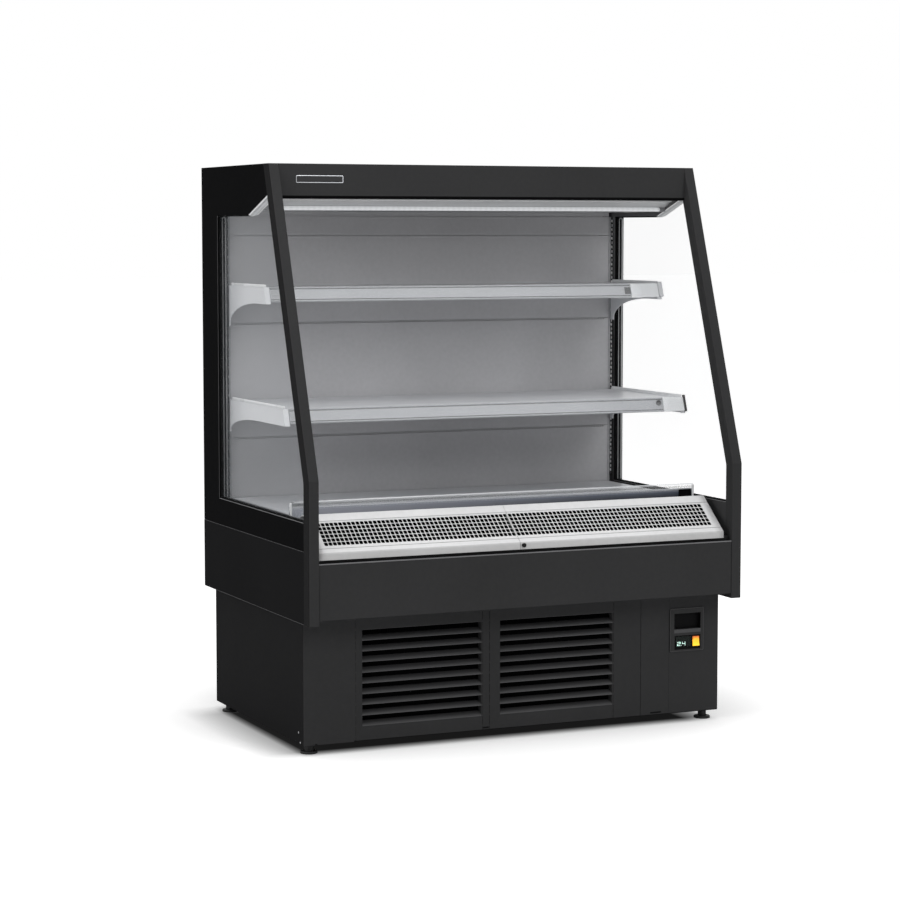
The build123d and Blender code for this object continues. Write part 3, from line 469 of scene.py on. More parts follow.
finishes.update((material.name, material) for material in (
    # black foam, also used for sheets of painted shade under the grille and the header
    moulded("filterFoam", (0.004, 0.004, 0.0042), 0.9, 0.0, 0.0003, 0.002),
    # the base sheets' side faces are painted darker: painted shade
    powderCoat("baseSheetPaint", (0.036, 0.036, 0.0368), 0.6, 0.004, painted=[
        ("baseSideShade", (0.013, 0.013, 0.0135))]),
    # the tub sides' inner faces are painted lighter: painted light
    powderCoat("tubSheetPaint", (0.0105, 0.0105, 0.011), 0.62, 0.002, painted=[
        ("innerFacesPaintedLight", (0.048, 0.048, 0.049))]),
    # the canopy's paint is a darker copy of the light grey paint as painted shade, and darker still behind the
    # lamp
    powderCoat("canopyPaint", (0.47, 0.475, 0.485), 0.38, 0.3, painted=[
        ("canopyCeilingShade", (0.22, 0.222, 0.23))]),
    # the lighter blade noses are painted highlights
    powderCoat("louvreSheetPaint", (0.034, 0.034, 0.0348), 0.58, 0.01, painted=[
        ("bladeNoseHighlights", (0.085, 0.085, 0.087))]),
    slottedPaint("uprightPaint", (0.34, 0.345, 0.355), (0.035, 0.035, 0.037), (1.0, 1.0, 1.0)),
    powderCoat("frameEnamel", (0.010, 0.010, 0.0104), 0.6, 0.01),
    moulded("bezelBlack", (0.0035, 0.0035, 0.0037), 0.5, 0.04, painted=[
        ("bezelFrame", (0.034, 0.034, 0.0345)), ("bezelBar", (0.075, 0.075, 0.077))]),
    moulded("edgeLight", (0.16, 0.16, 0.165), 0.4, 0.1),
    moulded("edgeDim", (0.06, 0.06, 0.062), 0.5, 0.1),
    extruded("brightTrim", (0.78, 0.79, 0.80), 0.3),
    extruded("shelfWhite", (0.86, 0.87, 0.88), 0.32),
    extruded("upperRailPlastic", (0.46, 0.47, 0.49), 0.34),
    # the panes' edge lines: painted highlights, paler on the right
    moulded("leftPaneEdgeGlass", (0.15, 0.15, 0.153), 0.3, 0.4),
    moulded("rightPaneEdgeGlass", (0.42, 0.425, 0.43), 0.3, 0.4),
    # lighter grey for the fascia's painted highlight
    extruded("trimGrey", (0.13, 0.13, 0.135), 0.4),
    moulded("grooveBlack", (0.02, 0.02, 0.021), 0.6, 0.1),
    drawnMetal("screwSteel", (0.30, 0.30, 0.31), 0.4, "X"),
    powderCoat("badgeField", (0.016, 0.016, 0.017), 0.35, 0.2),
    drawnMetal("badgeRim", (0.42, 0.43, 0.45), 0.32, "X"),
    litSegments("litDigit", (0.62, 0.86, 0.78)),
    moulded("paleClip", (0.52, 0.53, 0.55), 0.4, 0.3),
    moulded("darkClip", (0.035, 0.035, 0.037), 0.45, 0.2),
))
finishOf = {part["node"]: part["material_slot"] for part in frame["record"]["subparts"]}
finishOf.update({"base_left_panel": "baseSheetPaint", "base_right_panel": "baseSheetPaint",
                 "left_tub_side_panel": "tubSheetPaint", "right_tub_side_panel": "tubSheetPaint",
                 "shelf_uprights": "uprightPaint", "control_bezel": "bezelBlack", "canopy_panel": "canopyPaint",
                 "base_frame": "frameEnamel"})
for nodeName, node in frame["nodes"].items():
    for holder in node.material_slots:
        holder.material = finishes[finishOf[nodeName]]
print("finishes made:", len(finishes))


def gridFaces(rows, columns, closedRows=False, closedColumns=False):  # a grid's quads, row by row
    i = np.arange(rows if closedRows else rows - 1)[:, None]
    j = np.arange(columns if closedColumns else columns - 1)[None, :]
    nextRow = (i + 1) % rows * columns
    nextColumn = (j + 1) % columns
    corners = (i * columns + j, i * columns + nextColumn, nextRow + nextColumn, nextRow + j)
    return np.stack([np.broadcast_to(corner, (len(i), j.shape[1])) for corner in corners], -1).reshape(-1, 4)


def softened(points, radius, steps=3, closed=False):  # corner P becomes P + r(t^2 after - (1 - t)^2 before)
    points = np.asarray(points, float)
    loop = np.concatenate((points[-1:], points, points[:1])) if closed else points
    ways = np.diff(loop, axis=0)
    ways /= np.linalg.norm(ways, axis=1, keepdims=True)
    t = np.linspace(0, 1, steps + 1)[None, :, None]
    reach = np.broadcast_to(np.asarray(radius, float), len(ways) - 1)[:, None, None]
    bends = loop[1:-1, None] + reach * (t ** 2 * ways[1:, None] - (1 - t) ** 2 * ways[:-1, None])
    bends = bends.reshape(-1, 2)
    return bends if closed else np.concatenate((points[:1], bends, points[-1:]))


def runX(section, xs, closed=True):  # a (y, z) section carried along X; a closed one gets flat ends
    section = np.asarray(section, float)
    rows, columns = len(section), len(xs)
    points = np.empty((rows, columns, 3))
    points[..., 0] = xs
    points[..., 1:] = section[:, None]
    faces = [gridFaces(rows, columns, closed)]
    if closed:
        ring = np.arange(rows) * columns
        faces += [ring[None, ::-1], ring[None] + columns - 1]
    return points.reshape(-1, 3), faces


def filledEnds(rows, count):  # faces over the first and the last row
    row = np.arange(count)[None]
    return [row[:, ::-1], row + (rows - 1) * count]


def ringStack(rings, steps=3, closed=True):  # rounded rectangles (x0, x1, z0, z1, r, y), joined in order
    rows = []
    for x0, x1, z0, z1, radius, y in rings:
        ring = softened([(x0, z0), (x1, z0), (x1, z1), (x0, z1)], radius, steps, True)
        rows.append(np.insert(ring, 1, y, axis=1))
    points = np.array(rows)
    count = points.shape[1]
    faces = [gridFaces(len(rings), count, closed, True)]
    if not closed:
        faces += filledEnds(len(rings), count)
    return points.reshape(-1, 3), faces


def turned(profile, centre, axis="Z", around=48):  # (radius, height) pairs turned about an axis
    profile = np.asarray(profile, float)
    turn = np.linspace(0, 2 * np.pi, around, endpoint=False)
    radius = profile[:, :1]
    parts = {"a": radius * np.cos(turn), "b": radius * np.sin(turn), "h": profile[:, 1:] + 0 * turn}
    order = {"X": "hab", "Y": "ahb", "Z": "abh"}[axis]
    points = np.stack([parts[key] for key in order], -1) + np.asarray(centre, float)
    return points.reshape(-1, 3), [gridFaces(len(profile), around, False, True)]


def grown(box, by, radius, y):  # ring round a box (x0, x1, z0, z1), larger by so much on each side
    x0, x1, z0, z1 = box
    return x0 - by, x1 + by, z0 - by, z1 + by, radius, y


def pebble(x0, x1, y0, y1, z0, z1, radius, steps=3):  # block with rounded corners, eased at front and back
    ease = radius * 0.4
    places = ((-ease, y0), (0, y0 + ease), (0, y1 - ease), (-ease, y1))
    return ringStack([grown((x0, x1, z0, z1), by, radius, y) for by, y in places], steps, False)


def bothSides(shells):  # the shells, and the same on the fridge's other side
    return shells + [(points * (-1, 1, 1), [face[:, ::-1] for face in faces]) for points, faces in shells]


def putPiece(name, shells, finish, body, wall=0.0, closed=True, sharp=35, replaced=()):  # in mm
    faces = []
    start = 0
    for points, patches in shells:
        for patch in patches:
            faces.extend((patch + start).tolist())
        start += len(points)
    mesh = bpy.data.meshes.new(name)
    mesh.from_pydata((np.concatenate([shell[0] for shell in shells]) * mm).tolist(), [], faces)
    work = bmesh.new()
    work.from_mesh(mesh)
    bmesh.ops.remove_doubles(work, verts=work.verts, dist=2e-6)
    if closed:
        bmesh.ops.recalc_face_normals(work, faces=work.faces)
    work.to_mesh(mesh)
    work.free()
    mesh.polygons.foreach_set("use_smooth", np.ones(len(mesh.polygons), bool))
    mesh.set_sharp_from_angle(angle=np.radians(sharp))
    mesh.materials.append(finishes[finish])
    piece = bpy.data.objects.new(name, mesh)
    bpy.context.scene.collection.objects.link(piece)
    if wall:
        sheet = piece.modifiers.new("sheet", "SOLIDIFY")
        sheet.thickness = wall * mm
        sheet.offset = -1
        sheet.use_even_offset = True
    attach(piece, body)
    if replaced:
        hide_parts(*replaced)


grille = {
    "ends": (-590.5, -33.5, -32.5, 570),
    "line": [(-380, 512.6), (-398, 512.6), (-398, 508.6), (-400, 508.6), (-400, 526), (-290, 613),
             (-226, 589), (-202, 589)],
    "radii": (0.7, 0.6, 0.6, 3.0, 2.5, 2.5),
    "bendSteps": 4,
    "fold": 4,  # number of the lip's upper corner in the line
    "margins": {"left": (24, 0.6), "right": (0.6, 24)},
    "pitch": 11.8, "firstRow": 0.235, "rowPitch": 0.098, "rows": 6,
    "hole": (10.2, 12.5),
    "grooves": (0.12, 0.81),
    "padDepth": (4.0, 7.0),  # the black pad below the holes, a sheet of painted shade seen through them, its reach up the slope and its inset
    "padReach": (0.12, 0.84),
    "padInset": 3,
    "groove": (1.2, 1.0),  # half width and depth
    "catchGap": (-46, -2),  # no hem here, so the catch can turn
    "hemPoints": 11,  # of the bent line, before the lip itself
    "sheet": 1.0,
}


def pierced(xEdges, sEdges, hole):  # cells whose square border and superellipse hole share 16 directions
    around = 16
    turn = np.arange(around) * 2 * np.pi / around
    ray = np.stack((np.cos(turn), np.sin(turn)), 1)
    border = ray / np.abs(ray).max(1, keepdims=True)
    rim = np.sign(ray) * np.abs(ray) ** 0.5
    x, s = np.meshgrid((xEdges[1:] + xEdges[:-1]) / 2, (sEdges[1:] + sEdges[:-1]) / 2)
    centres = np.stack((x.ravel(), s.ravel()), 1)[:, None]
    half = np.array((xEdges[1] - xEdges[0], sEdges[1] - sEdges[0])) / 2
    cell = np.stack((centres + border * half, centres + rim * np.array(hole) / 2), 1)
    quads = gridFaces(2, around, False, True)
    faces = quads[None] + 2 * around * np.arange(len(centres))[:, None, None]
    return cell.reshape(-1, 2), faces.reshape(-1, 4)


def subdivided(edges):  # cell edges with the points where a cell's border meets the 16 directions
    t = np.tan(np.pi / 8)
    steps = (np.array((-1, -t, 0, t)) + 1) / 2
    inner = edges[:-1, None] + steps * (edges[1] - edges[0])
    return np.append(inner.ravel(), edges[-1])


def grilleSlope():  # lower corner, direction up the slope, direction out of it, and its length
    corner, top = (np.array(grille["line"][grille["fold"] + step], float) for step in (0, 1))
    length = np.linalg.norm(top - corner)
    way = (top - corner) / length
    return corner, way, np.array((-way[1], way[0])), length


def grilleHalf(x0, x1, margins):  # hemmed lip, pierced slope between two creases, rear flange
    corner, way, out, length = grilleSlope()
    half, deep = grille["groove"]

    def crease(share):
        middle = corner + way * share * length
        return [middle - half * way, middle - deep * out, middle + half * way]

    firstRow = grille["firstRow"] * length
    rowPitch = grille["rowPitch"] * length
    sEdges = firstRow + rowPitch * (np.arange(grille["rows"] + 1) - 0.5)
    xEdges = np.array((x0 + margins[0], x1 - margins[1]))
    xEdges = np.linspace(*xEdges, round(np.ptp(xEdges) / grille["pitch"]) + 1)
    xs = np.concatenate(([x0], subdivided(xEdges), [x1]))
    bends = softened(grille["line"], grille["radii"], grille["bendSteps"])
    split = 1 + (grille["bendSteps"] + 1) * grille["fold"]
    lower = np.concatenate((bends[:split], crease(grille["grooves"][0]), [corner + way * sEdges[0]]))
    upper = np.concatenate(([corner + way * sEdges[-1]], crease(grille["grooves"][1]), bends[split:]))
    side = corner + way * subdivided(sEdges)[:, None]
    flat, quads = pierced(xEdges, sEdges, grille["hole"])
    band = np.insert(corner + way * flat[:, 1:], 0, flat[:, 0], axis=1)
    start, end = np.searchsorted(xs, np.clip(grille["catchGap"], x0, x1))
    start = max(start - 1, 0)
    shells = [runX(upper, xs, False), runX(side, xs[:2], False), runX(side, xs[-2:], False), (band, [quads]),
              runX(lower[grille["hemPoints"]:], xs[start:end + 1], False)]
    return shells + [runX(lower, part, False) for part in (xs[:start + 1], xs[end:]) if len(part) > 1]


def holeShadePad(x0, x1):  # black pad clipped below the holes as painted shade seen through them: a slab parallel to the slope
    corner, way, out, length = grilleSlope()
    near, far = grille["padDepth"]
    low, high = (share * length for share in grille["padReach"])
    rounds = ((low, near), (low, far), (high, far), (high, near))
    section = [corner + way * s - out * depth for s, depth in rounds]
    return runX(section, np.array((x0 + grille["padInset"], x1 - grille["padInset"])))


for side, x0, x1 in (("left", *grille["ends"][:2]), ("right", *grille["ends"][2:])):
    putPiece(f"{side}ReturnGrille", grilleHalf(x0, x1, grille["margins"][side]), "grille_paint",
             f"{side}_grille", wall=grille["sheet"], closed=False,
             replaced=(f"{side}_return_grille",))
    putPiece(f"{side}GrilleShadePad", [holeShadePad(x0, x1)], "filterFoam", f"{side}_grille")
print("return grille made")


louvres = {
    "front": -318.0,
    "sheet": 1.5,
    "z": (28.0, 344.5),
    "opening": (64.0, 313.0),
    "blades": 9, "bladeDepth": 20.0, "bladeRise": 10.9, "bladeLip": 1.5,
    "left": {"frame": (-459.5, -103.2), "strip": (-102.6, -83.5), "opening": (-441.0, -106.0)},
    "right": {"frame": (-82.5, 282.0), "strip": (282.8, 364.5), "opening": (-52.0, 279.0)},
    "fingerSlot": (-101.9, -84.5, 30.5, 35.0),
    "screen": {"y": -294.6, "fold": 1.2, "pitch": 5.0, "overlap": 1.5},
}


def louvreBlade(low, x0, x1):  # depth d = 20 s, height 1.5 + 10.9(1 - (1 - s)^2) above its lower front edge
    s = np.linspace(0, 1, 9)
    front = louvres["front"] + 0.5
    curve = np.stack((front + louvres["bladeDepth"] * s,
                      low + louvres["bladeLip"] + louvres["bladeRise"] * (1 - (1 - s) ** 2)), 1)
    hem = [(front + 1.2, low), (front + 0.3, low + 0.1), (front, low + 0.5)]
    outer = np.concatenate((hem, curve))
    inner = outer[::-1][:-3] + (0.5, -1.2)
    return runX(np.concatenate((outer, inner)), np.linspace(x0 - 0.3, x1 + 0.3, 9))


def louvredFront(part):  # framed opening with a soft front edge, a blind strip beside it, and the rolled blades
    front = louvres["front"]
    back = front + louvres["sheet"]
    rear = back + louvres["bladeDepth"]
    low, high = louvres["z"]
    x0, x1 = part["opening"]
    z0, z1 = louvres["opening"]

    def face(*ends):  # the sheet's edge and its eased front
        return [grown((*ends, low, high), by, 0.3, y) for by, y in ((0, back), (0, front + 0.5), (-0.5, front))]

    lining = ((1.4, front), (0.4, front + 0.4), (0, front + 1.4), (0, rear), (1.5, rear), (1.5, back))
    shells = [ringStack(face(*part["frame"]) + [grown((x0, x1, z0, z1), by, 0.6, y) for by, y in lining])]
    left, right = part["strip"]
    blind = face(left, right)
    slot = louvres["fingerSlot"]
    hasSlot = left < slot[0] < right
    if hasSlot:
        blind += [grown(slot, 0, 2, y) for y in (front, back)]
    shells.append(ringStack(blind, 3, hasSlot))
    joint = (left - 3, left + 3, low + 2, high - 2)  # a thin lap behind the line between frame and strip
    shells.append(ringStack([grown(joint, 0, 0.3, back + y) for y in (0.05, 1.0)], 1, False))
    for edge in z0 + np.arange(louvres["blades"]) * (z1 - z0) / louvres["blades"]:
        shells.append(louvreBlade(edge, x0, x1))
    return shells


def pleatedScreen(opening):  # y = middle + fold cos(2 pi x / pitch), a dust screen right behind the blades
    screen = louvres["screen"]
    x0, x1, z0, z1 = grown((*opening, *louvres["opening"]), screen["overlap"], 0, 0)[:4]
    folds = round((x1 - x0) / screen["pitch"])
    share = np.linspace(0, 1, folds * 6 + 1)
    x, z = np.meshgrid(x0 + (x1 - x0) * share, np.array((z0, (z0 + z1) / 2, z1)))
    y = screen["y"] + screen["fold"] * np.cos(2 * np.pi * folds * share) + 0 * x
    return np.stack((x, y, z), -1).reshape(-1, 3), [gridFaces(3, len(share))]


for side in ("left", "right"):
    putPiece(f"{side}LouvredPanel", louvredFront(louvres[side]), "louvreSheetPaint", f"{side}_louvres",
             replaced=(f"{side}_louvred_panel",))
    putPiece(f"{side}DustScreen", [pleatedScreen(louvres[side]["opening"])], "filterFoam", f"{side}_louvres",
             wall=0.5, closed=False)
print("louvred panels and dust screens made")


windows = {
    "left": {"pale": (-597.6, 3.4), "thin": (-606.4, 2.0), "sill": (-603.0, -601.0)},  # middle, width
    "right": {"pale": (615.0, 4.0), "thin": (604.8, 2.0), "sill": (591.6, 593.4)},
    "jamb": (271.3, 273.2),
    "strip": (606.0, 1364.0),
    "sillY": (-371.0, 273.0),
    "sillZ": {"left": (603.2, 605.6), "right": (601.2, 602.5)},
}


def archStrip(pale, thin):  # a line up, over a half circle and down, narrowing on its way
    middle = (pale[0] + thin[0]) / 2
    r = (pale[0] - thin[0]) / 2
    low, high = windows["strip"]
    top = high - abs(r)
    turn = np.concatenate(([0, 0], np.linspace(0, np.pi, 13)[1:-1], [np.pi, np.pi]))
    base = np.concatenate(([low], np.full(len(turn) - 2, top), [low]))
    half = np.interp(turn, (0, np.pi), (pale[1] / 2, thin[1] / 2))
    front, rear = windows["jamb"]
    rows = []  # x = middle + (r + offset half) cos turn, z = base + (r + offset half) sin turn
    for offset, y in ((-1, rear), (-1, front + 0.5), (-0.7, front), (0.7, front), (1, front + 0.5), (1, rear)):
        reach = abs(r) + offset * half
        x = middle + np.sign(r) * reach * np.cos(turn)
        rows.append(np.stack((x, y + 0 * turn, base + reach * np.sin(turn)), 1))
    ring = np.arange(len(rows)) * len(turn)
    faces = [gridFaces(len(rows), len(turn), True), ring[None], ring[None, ::-1] + len(turn) - 1]
    return np.array(rows).reshape(-1, 3), faces


def strip(x0, x1, y0, y1, z0, z1):  # thin bar with eased long edges
    return pebble(x0, x1, y0, y1, z0, z1, min(x1 - x0, z1 - z0) * 0.3, 2)


def linearTrim(half, y, z, radius):  # thin bar along X with eased edges
    (y0, y1), (z0, z1) = y, z
    return runX(softened([(y0, z0), (y1, z0), (y1, z1), (y0, z1)], radius, 2, True), np.array((-half, half)))


# the pale lines along the panes' edges and sills are painted highlights; the right window's are painted paler
# than the left's
for side in ("left", "right"):
    part = windows[side]
    putPiece(f"{side}PaneEdges", [archStrip(part["pale"], part["thin"])], f"{side}PaneEdgeGlass", "cabinet")
    putPiece(f"{side}SillLine", [strip(*part["sill"], *windows["sillY"], *windows["sillZ"][side])], "edgeLight",
             "cabinet")

sideLines = {  # painted highlight lines along edges on the left side, repeated on the right: finish, slot and boxes
    "sillEdgeHighlights": ("edgeLight", "gasket_rubber", [(-620.35, -619.0, -372, 274, 601.0, 602.4)]),
    "jambEdgeHighlights": ("edgeDim", "gasket_rubber", [(-620.3, -619.4, 274.2, 275.6, 602, 1369)]),
    "tubSideEdgeHighlights": ("edgeDim", "black_panel", [(-620.3, -619.4, -372, 407, 529.0, 530.0),
                                                (-620.3, -619.4, -372, 407, 345.0, 346.0)]),
}
for name, (finish, slot, boxes) in sideLines.items():
    putPiece(name, bothSides([strip(*box) for box in boxes]), finish, "cabinet")

crossTrims = {  # finish, slot, then half length, y, z and edge radius
    # a rounded bead whose lighter grey is the painted highlight on the fascia's top edge
    "fasciaHighlightBead": ("trimGrey", "rail_grey", 591.5, (-405.5, -401), (498.0, 500.8), 0.4),
    # a black strip painted as the shade along the header's lower edge
    "headerShadeStrip": ("filterFoam", "black_plastic", 591.2, (-132.5, -105.0), (1410.6, 1418.2), 0.8),
    # a bright strip painted as the highlight on the canopy's front lip
    "canopyLipHighlight": ("brightTrim", "light_grey_paint", 591.2, (-63.0, -57.0), (1407.2, 1410.6), 1.2),
}
for name, (finish, slot, *trim) in crossTrims.items():
    putPiece(name, [linearTrim(*trim)], finish, "cabinet")

lamp = {"y": -24.0, "z": 1387.2, "radius": 6.0, "reach": 569.0, "cap": 7.0}


def lampCaps():  # domes of radius r cos a at reach + cap sin a, at both ends of the diffuser
    turn = np.linspace(0, np.pi / 2, 7)
    reach = lamp["reach"] + lamp["cap"] * np.sin(turn)
    profile = np.concatenate(([(0, lamp["reach"])], np.stack((lamp["radius"] * np.cos(turn), reach), 1)))
    dome = turned(profile, (0, lamp["y"], lamp["z"]), "X", 24)
    return bothSides([dome])


putPiece("lampCaps", lampCaps(), "shelfWhite", "cabinet", sharp=50)
print("windows, trims and lamp ends made")


badge = {"box": (-545, -415, 1451, 1470), "plane": -132.0, "rim": 1.6}


def badgePlates():  # a blank field inside a raised rim; both stand on the header's face
    box, plane, rim = badge["box"], badge["plane"], badge["rim"]
    outer = [(0, 3, 0), (0, 3, -0.9), (-0.4, 3, -1.2)]
    inner = [(0.4 - rim, 2, -1.2), (-rim, 2, -0.8), (-rim, 2, 0)]
    rings = [grown(box, by, radius, plane + lift) for by, radius, lift in outer + inner]
    field = [grown(box, -rim, 2, plane + lift) for lift in (0, -0.7)]
    return ringStack(rings), ringStack(field, 3, False)


badgeRim, badgeField = badgePlates()
putPiece("badgeRim", [badgeRim], "badgeRim", "cabinet")
putPiece("badgeField", [badgeField], "badgeField", "cabinet")


display = {"x": (475.5, 500.5), "z": (210.0, 220.5), "plane": -320.05, "stroke": 1.5, "gap": 5, "dot": 1.6}
segmentsOf = {"2": "abged", "4": "fgbc"}


def digitBars(mark, x0, width, z0, height, stroke):  # seven bars on two stacked squares
    middle = z0 + height / 2
    right, top = x0 + width, z0 + height
    half = stroke / 2
    bars = {"a": (x0, right, top - stroke, top), "g": (x0, right, middle - half, middle + half),
            "d": (x0, right, z0, z0 + stroke), "f": (x0, x0 + stroke, middle, top),
            "b": (right - stroke, right, middle, top), "e": (x0, x0 + stroke, z0, middle),
            "c": (right - stroke, right, z0, middle)}
    return [bars[key] for key in segmentsOf[mark]]


def displayShells():
    (x0, x1), (z0, z1) = display["x"], display["z"]
    stroke, plane = display["stroke"], display["plane"]
    width = (x1 - x0 - display["gap"]) / 2
    dot = x0 + width + display["dot"]
    bars = digitBars("2", x0, width, z0, z1 - z0, stroke)
    bars.append((dot, dot + stroke, z0, z0 + stroke))
    bars += digitBars("4", x1 - width, width, z0, z1 - z0, stroke)
    return [ringStack([(*bar, 0.3, plane + 0.3), (*bar, 0.3, plane)], 2, False) for bar in bars]


putPiece("displayDigits", displayShells(), "litDigit", "service_front", sharp=20)
print("badge and display made")


rails = {
    "half": 573,
    "upper": {"top": 1181, "front": -4, "railEnd": 491, "lipEnd": 526, "coverEnd": 577.5},
    "middle": {"top": 871, "front": -142, "railEnd": 520, "lipEnd": 543, "coverEnd": 584},
    "finish": {"upper": "upperRailPlastic", "middle": "rail_grey"},
    "lean": 13.0,
    "height": 38.0,
    "section": [(-0.6, 0.2), (-0.8, 1.6), (-0.2, 3.4), (1.2, 4.2), (2.8, 3.8), (3.4, 2.6), (3.6, 1.4),
                (34.8, 1.4), (35.2, 2.8), (36.2, 4.0), (37.8, 4.3), (39.2, 3.6), (39.4, 1.6), (39.0, 0.2)],
    # where black strips of painted shade lie, under the upper bead and above the lower lip
    "grooves": (3.8, 32.8),
    "knobPlace": (507, 14.5, 1.4),
    "knobLine": [(0, 0.4), (7.2, 0.4), (7.8, -1.2), (7.4, -2.8), (5.0, -3.2), (0, -3.3)],
}


def onLean(part, points):  # (t down the face, n out of it) to (y, z) on a shelf's leaning front
    drop = rails["height"] - 1
    length = np.hypot(rails["lean"], drop)
    t, n = np.asarray(points, float).T
    y = part["front"] - (rails["lean"] * t + drop * n) / length
    z = part["top"] - 1 + (rails["lean"] * n - drop * t) / length
    return np.stack((y, z), 1)


def railShells(part):  # channel section: upper bead, flat face and a hooked lower lip
    return [runX(onLean(part, rails["section"]), np.linspace(-rails["half"], part["railEnd"], 9))]


def leaningPad(part, x0, x1, t0, t1, n0, n1, ease=0.8):  # a pad on the leaning front with eased outer edges
    section = [(t0, n0), (t0, n1 - ease), (t0 + ease, n1), (t1 - ease, n1), (t1, n1 - ease), (t1, n0)]
    return runX(onLean(part, section), np.array((x0, x1)))


for level in ("upper", "middle"):
    part = rails[level]
    top, front, railEnd, lipEnd = (part[key] for key in ("top", "front", "railEnd", "lipEnd"))
    putPiece(f"{level}PriceRail", railShells(part), rails["finish"][level], f"{level}_tray",
             replaced=(f"{level}_shelf_price_rail",))
    cover = leaningPad(part, lipEnd + 0.5, part["coverEnd"], -0.6, 39.0, 1.8, 3.8)
    rims = [strip(580.5, 583.5, front + 3, 268, top - 2.2, top + 7.0)]
    # the black strips in the grooves are painted shade
    shadeStripEnds = (1 - rails["half"], railEnd - 1)
    grooves = [leaningPad(part, *shadeStripEnds, t, t + 1.9, 1.3, 1.9, 0.3) for t in rails["grooves"]]
    paleEnd = leaningPad(part, railEnd + 0.4, lipEnd, -0.6, 39.4, 0.2, 4.2)
    for name, shells, finish, slot in (("CoverBack", [cover], "shelfWhite", "rail_grey"),
                                       ("SideRims", bothSides(rims), "brightTrim", "light_grey_paint"),
                                       ("RailShadeStrips", grooves, "grooveBlack", "rail_grey"),
                                       ("PaleEnd", [paleEnd], "shelfWhite", "rail_grey")):
        putPiece(f"{level}{name}", shells, finish, f"{level}_tray")
upper, middle = rails["upper"], rails["middle"]
knobX, *knobLean = rails["knobPlace"]
knob = turned(rails["knobLine"], (knobX, *onLean(middle, [knobLean])[0]), "Y", 32)
for level, name, shell, finish in (
        ("upper", "RailClip", leaningPad(upper, 473, 490.5, 10, 29, 1.3, 4.3, 1.2), "darkClip"),
        ("upper", "EndCap", leaningPad(upper, 578, 591, -5, 38, 0.2, 6.4, 1.6), "paleClip"),
        ("middle", "RailKnob", knob, "darkClip"),
        ("middle", "EndClip", leaningPad(middle, 584.5, 590.5, -6, 41, 0.2, 6.6, 1.8), "darkClip")):
    putPiece(f"{level}{name}", [shell], finish, f"{level}_tray")
print("price rails made")


deckTrim = {  # each: x, how far it stands out, z, edge radius and steps
    "front": -196.1,
    "block": ((545, 583), 3.2, (589, 621), 2, 3),
    "clear": ((-589, 591), 2.2, (619, 637), 8, 5),
    "cap": ((586, 591.6), 4.0, (598, 634), 2.5, 4),
}


def deckPebble(x, out, z, radius, steps):
    return pebble(*x, deckTrim["front"] - out, deckTrim["front"], *z, radius, steps)


putPiece("deckRailBlock", [deckPebble(*deckTrim["block"])], "filterFoam", "cabinet")
putPiece("deckClearStrip", [deckPebble(*deckTrim["clear"])], "clear_strip", "cabinet")
putPiece("deckStripCaps", bothSides([deckPebble(*deckTrim["cap"])]), "shelfWhite", "cabinet")


control = {"bezel": (453, 556, 195, 312), "front": -321.0, "line": 1.3,
           "seam": (450.6, 451.5, -318.3, -317.5, 29, 344)}


def bezelLine():  # thin raised line round the bezel
    inner, y = -control["line"], control["front"]
    rings = ((0, 3, y + 1), (0.1, 3, y - 0.3), (inner, 2.4, y - 0.3), (inner, 2.4, y + 0.5))
    return ringStack([grown(control["bezel"], *ring) for ring in rings])


putPiece("bezelLine", [bezelLine()], "edgeDim", "service_front")
putPiece("serviceSeam", [strip(*control["seam"])], "grooveBlack", "service_front")
print("deck trim and control line made")


feet = {
    "x": 575.0, "front": -283.0, "rear": 328.0,
    "pad": 22.5, "padHeight": 7.0,
    "collar": 13.0, "collarZ": (6.0, 26.0), "cone": (11.6, 13.2),
    "stem": 8.0, "stemTop": 49.0, "threadPitch": 1.75,
}


def footShells(x, y):  # turned pad, hexagonal collar chamfered by a cone, and a threaded stem
    r, h = feet["pad"], feet["padHeight"]
    pad = [(0, 0), (r - 1.6, 0), (r - 0.4, 0.5), (r, 1.6), (r, h - 2.4), (r - 0.6, h - 1.0), (r - 2.0, h - 0.2),
           (r - 4.5, h), (14.5, h), (14.0, h - 0.6), (0, h - 0.6)]
    low, high = feet["collarZ"]
    around = 72
    turn = np.linspace(0, 2 * np.pi, around, endpoint=False)
    flats = feet["collar"] * np.cos(np.pi / 6) / np.cos(np.mod(turn, np.pi / 3) - np.pi / 6)
    heights = np.array((low, low, low + 1.2, high - 1.2, high, high))
    near, far = feet["cone"]
    limits = np.array((0, near, far, far, near, 0))
    radius = np.minimum(flats[None], limits[:, None])
    points = np.stack((x + radius * np.cos(turn), y + radius * np.sin(turn), heights[:, None] + 0 * radius), -1)
    collar = (points.reshape(-1, 3), [gridFaces(len(heights), around, False, True)])
    z = np.arange(high - 1, feet["stemTop"], feet["threadPitch"] / 2)
    thread = np.stack((np.where(np.arange(len(z)) % 2, feet["stem"], feet["stem"] - 0.9), z), 1)
    stem = np.concatenate(([(0, z[0])], thread, [(0, z[-1])]))
    return [turned(pad, (x, y, 0)), collar, turned(stem, (x, y, 0), around=32)]


for side, x in (("left", -feet["x"]), ("right", feet["x"])):
    for end in ("front", "rear"):
        putPiece(f"{side}{end.capitalize()}Foot", footShells(x, feet[end]), "foot_black", f"foot_{side}_{end}",
                 sharp=28, replaced=(f"{side}_{end}_foot",))
print("feet made")


fans = {
    "left": {"centre": (-290, -122, 484), "radius": 75.5, "hub": 24, "node": "left_evaporator_fan"},
    "right": {"centre": (290, -122, 484), "radius": 75.5, "hub": 24, "node": "right_evaporator_fan"},
    "warm": {"centre": (113, -178, 190), "radius": 111.5, "hub": 34, "node": "condenser_fan"},
    "blades": 5, "depth": 26.0, "sheet": 1.6,
    "sweep": 0.35, "span": (0.95, 0.20), "rake": (0.92, 0.25), "camber": 2.2,
}


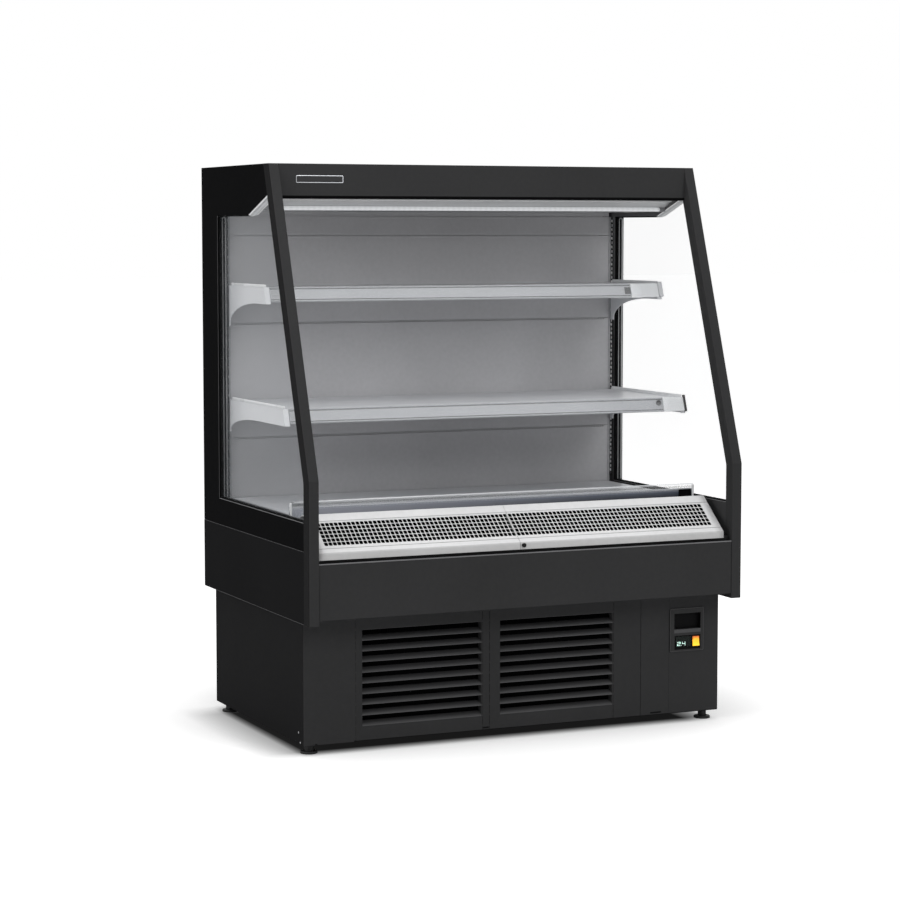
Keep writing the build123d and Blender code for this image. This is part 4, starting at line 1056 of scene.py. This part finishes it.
def fanShells(fan):  # blades: turn = start + sweep u^1.3 + (a - b u)(v - 1/2), y = depth (v - 1/2)(c - d u)
    u = np.linspace(0, 1, 9)[:, None]
    v = np.linspace(0, 1, 9)[None, :]
    radius = fan["hub"] - 2 + (fan["radius"] - fan["hub"] + 2) * u + 0 * v
    shells = []
    half = fans["depth"] / 2 - 1.2
    (a, b), (c, d) = fans["span"], fans["rake"]
    camber = fans["camber"] * (1 - (2 * v - 1) ** 2)
    y = 2 * half * (v - 0.5) * (c - d * u) + camber
    for index in range(fans["blades"]):
        turn = 2 * np.pi * index / fans["blades"] + fans["sweep"] * u ** 1.3 + (a - b * u) * (v - 0.5)
        outer = np.stack((radius * np.sin(turn), y, radius * np.cos(turn)), -1)
        inner = outer + np.array((0, fans["sheet"], 0))
        closedSheet = np.concatenate((outer, inner[:, ::-1]), 1)
        points = closedSheet + np.array(fan["centre"], float)
        count = closedSheet.shape[1]
        faces = [gridFaces(len(u), count, False, True)] + filledEnds(len(u), count)
        shells.append((points.reshape(-1, 3), faces))
    r, d = fan["hub"], fans["depth"] / 2
    hub = [(0, d), (r - 2, d), (r, d - 2), (r, 3 - d), (r - 1, 1.2 - d), (r - 4, -d), (r * 0.45, -d),
           (r * 0.4, 1.5 - d), (0, 1.5 - d)]  # the front is dished
    shells.append(turned(hub, fan["centre"], "Y"))
    return shells


for side in ("left", "right", "warm"):
    putPiece(f"{side}FanRotor", fanShells(fans[side]), "fan_plastic", f"{side}_fan", sharp=40,
             replaced=(fans[side]["node"],))
print("fan rotors made")


screws = {
    "radius": 3.0,
    "height": 1.2,
    "side": [(-284, 55), (-296, 31)],  # (y, z) on the base's side sheets
    "rear": [(x, z) for x in (-606, 606) for z in range(560, 1500, 180)]
            + [(x, 1488) for x in range(-450, 451, 300)],
    "baseRear": [(x, z) for x in (-590, 590) for z in (45, 185, 325)],
    "planes": {"side": 603, "rear": 407.5, "baseRear": 363},
}


def screwHead(u, v, out, facing):  # dome h(1 - 0.75 r^2), cross recess where |cos 2 angle| is near 1
    rows, around = 7, 24
    share = np.linspace(0, 1, rows)[:, None]
    turn = np.linspace(0, 2 * np.pi, around, endpoint=False)[None]
    cross = np.clip((np.abs(np.cos(2 * turn)) - 0.5) / 0.3, 0, 1) * np.clip((0.62 - share) / 0.12, 0, 1)
    height = screws["height"] * (1 - 0.75 * share ** 2) - 0.8 * cross
    height[-1] = -0.2
    a = u + screws["radius"] * share * np.cos(turn)
    b = v + screws["radius"] * share * np.sin(turn)
    lift = out + facing[1] * height
    points = np.stack((lift, a, b) if facing[0] == "X" else (a, lift, b), -1)
    return points.reshape(-1, 3), [gridFaces(rows, around, False, True), filledEnds(rows, around)[1]]


planes = screws["planes"]
heads = [screwHead(y, z, way * planes["side"], ("X", way)) for way in (-1, 1) for y, z in screws["side"]]
for wall in ("rear", "baseRear"):
    heads += [screwHead(x, z, planes[wall], ("Y", 1)) for x, z in screws[wall]]
putPiece("screwHeads", heads, "screwSteel", "cabinet")
print("screws made")

boxes = {"cad": cadBox, "visual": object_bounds()}
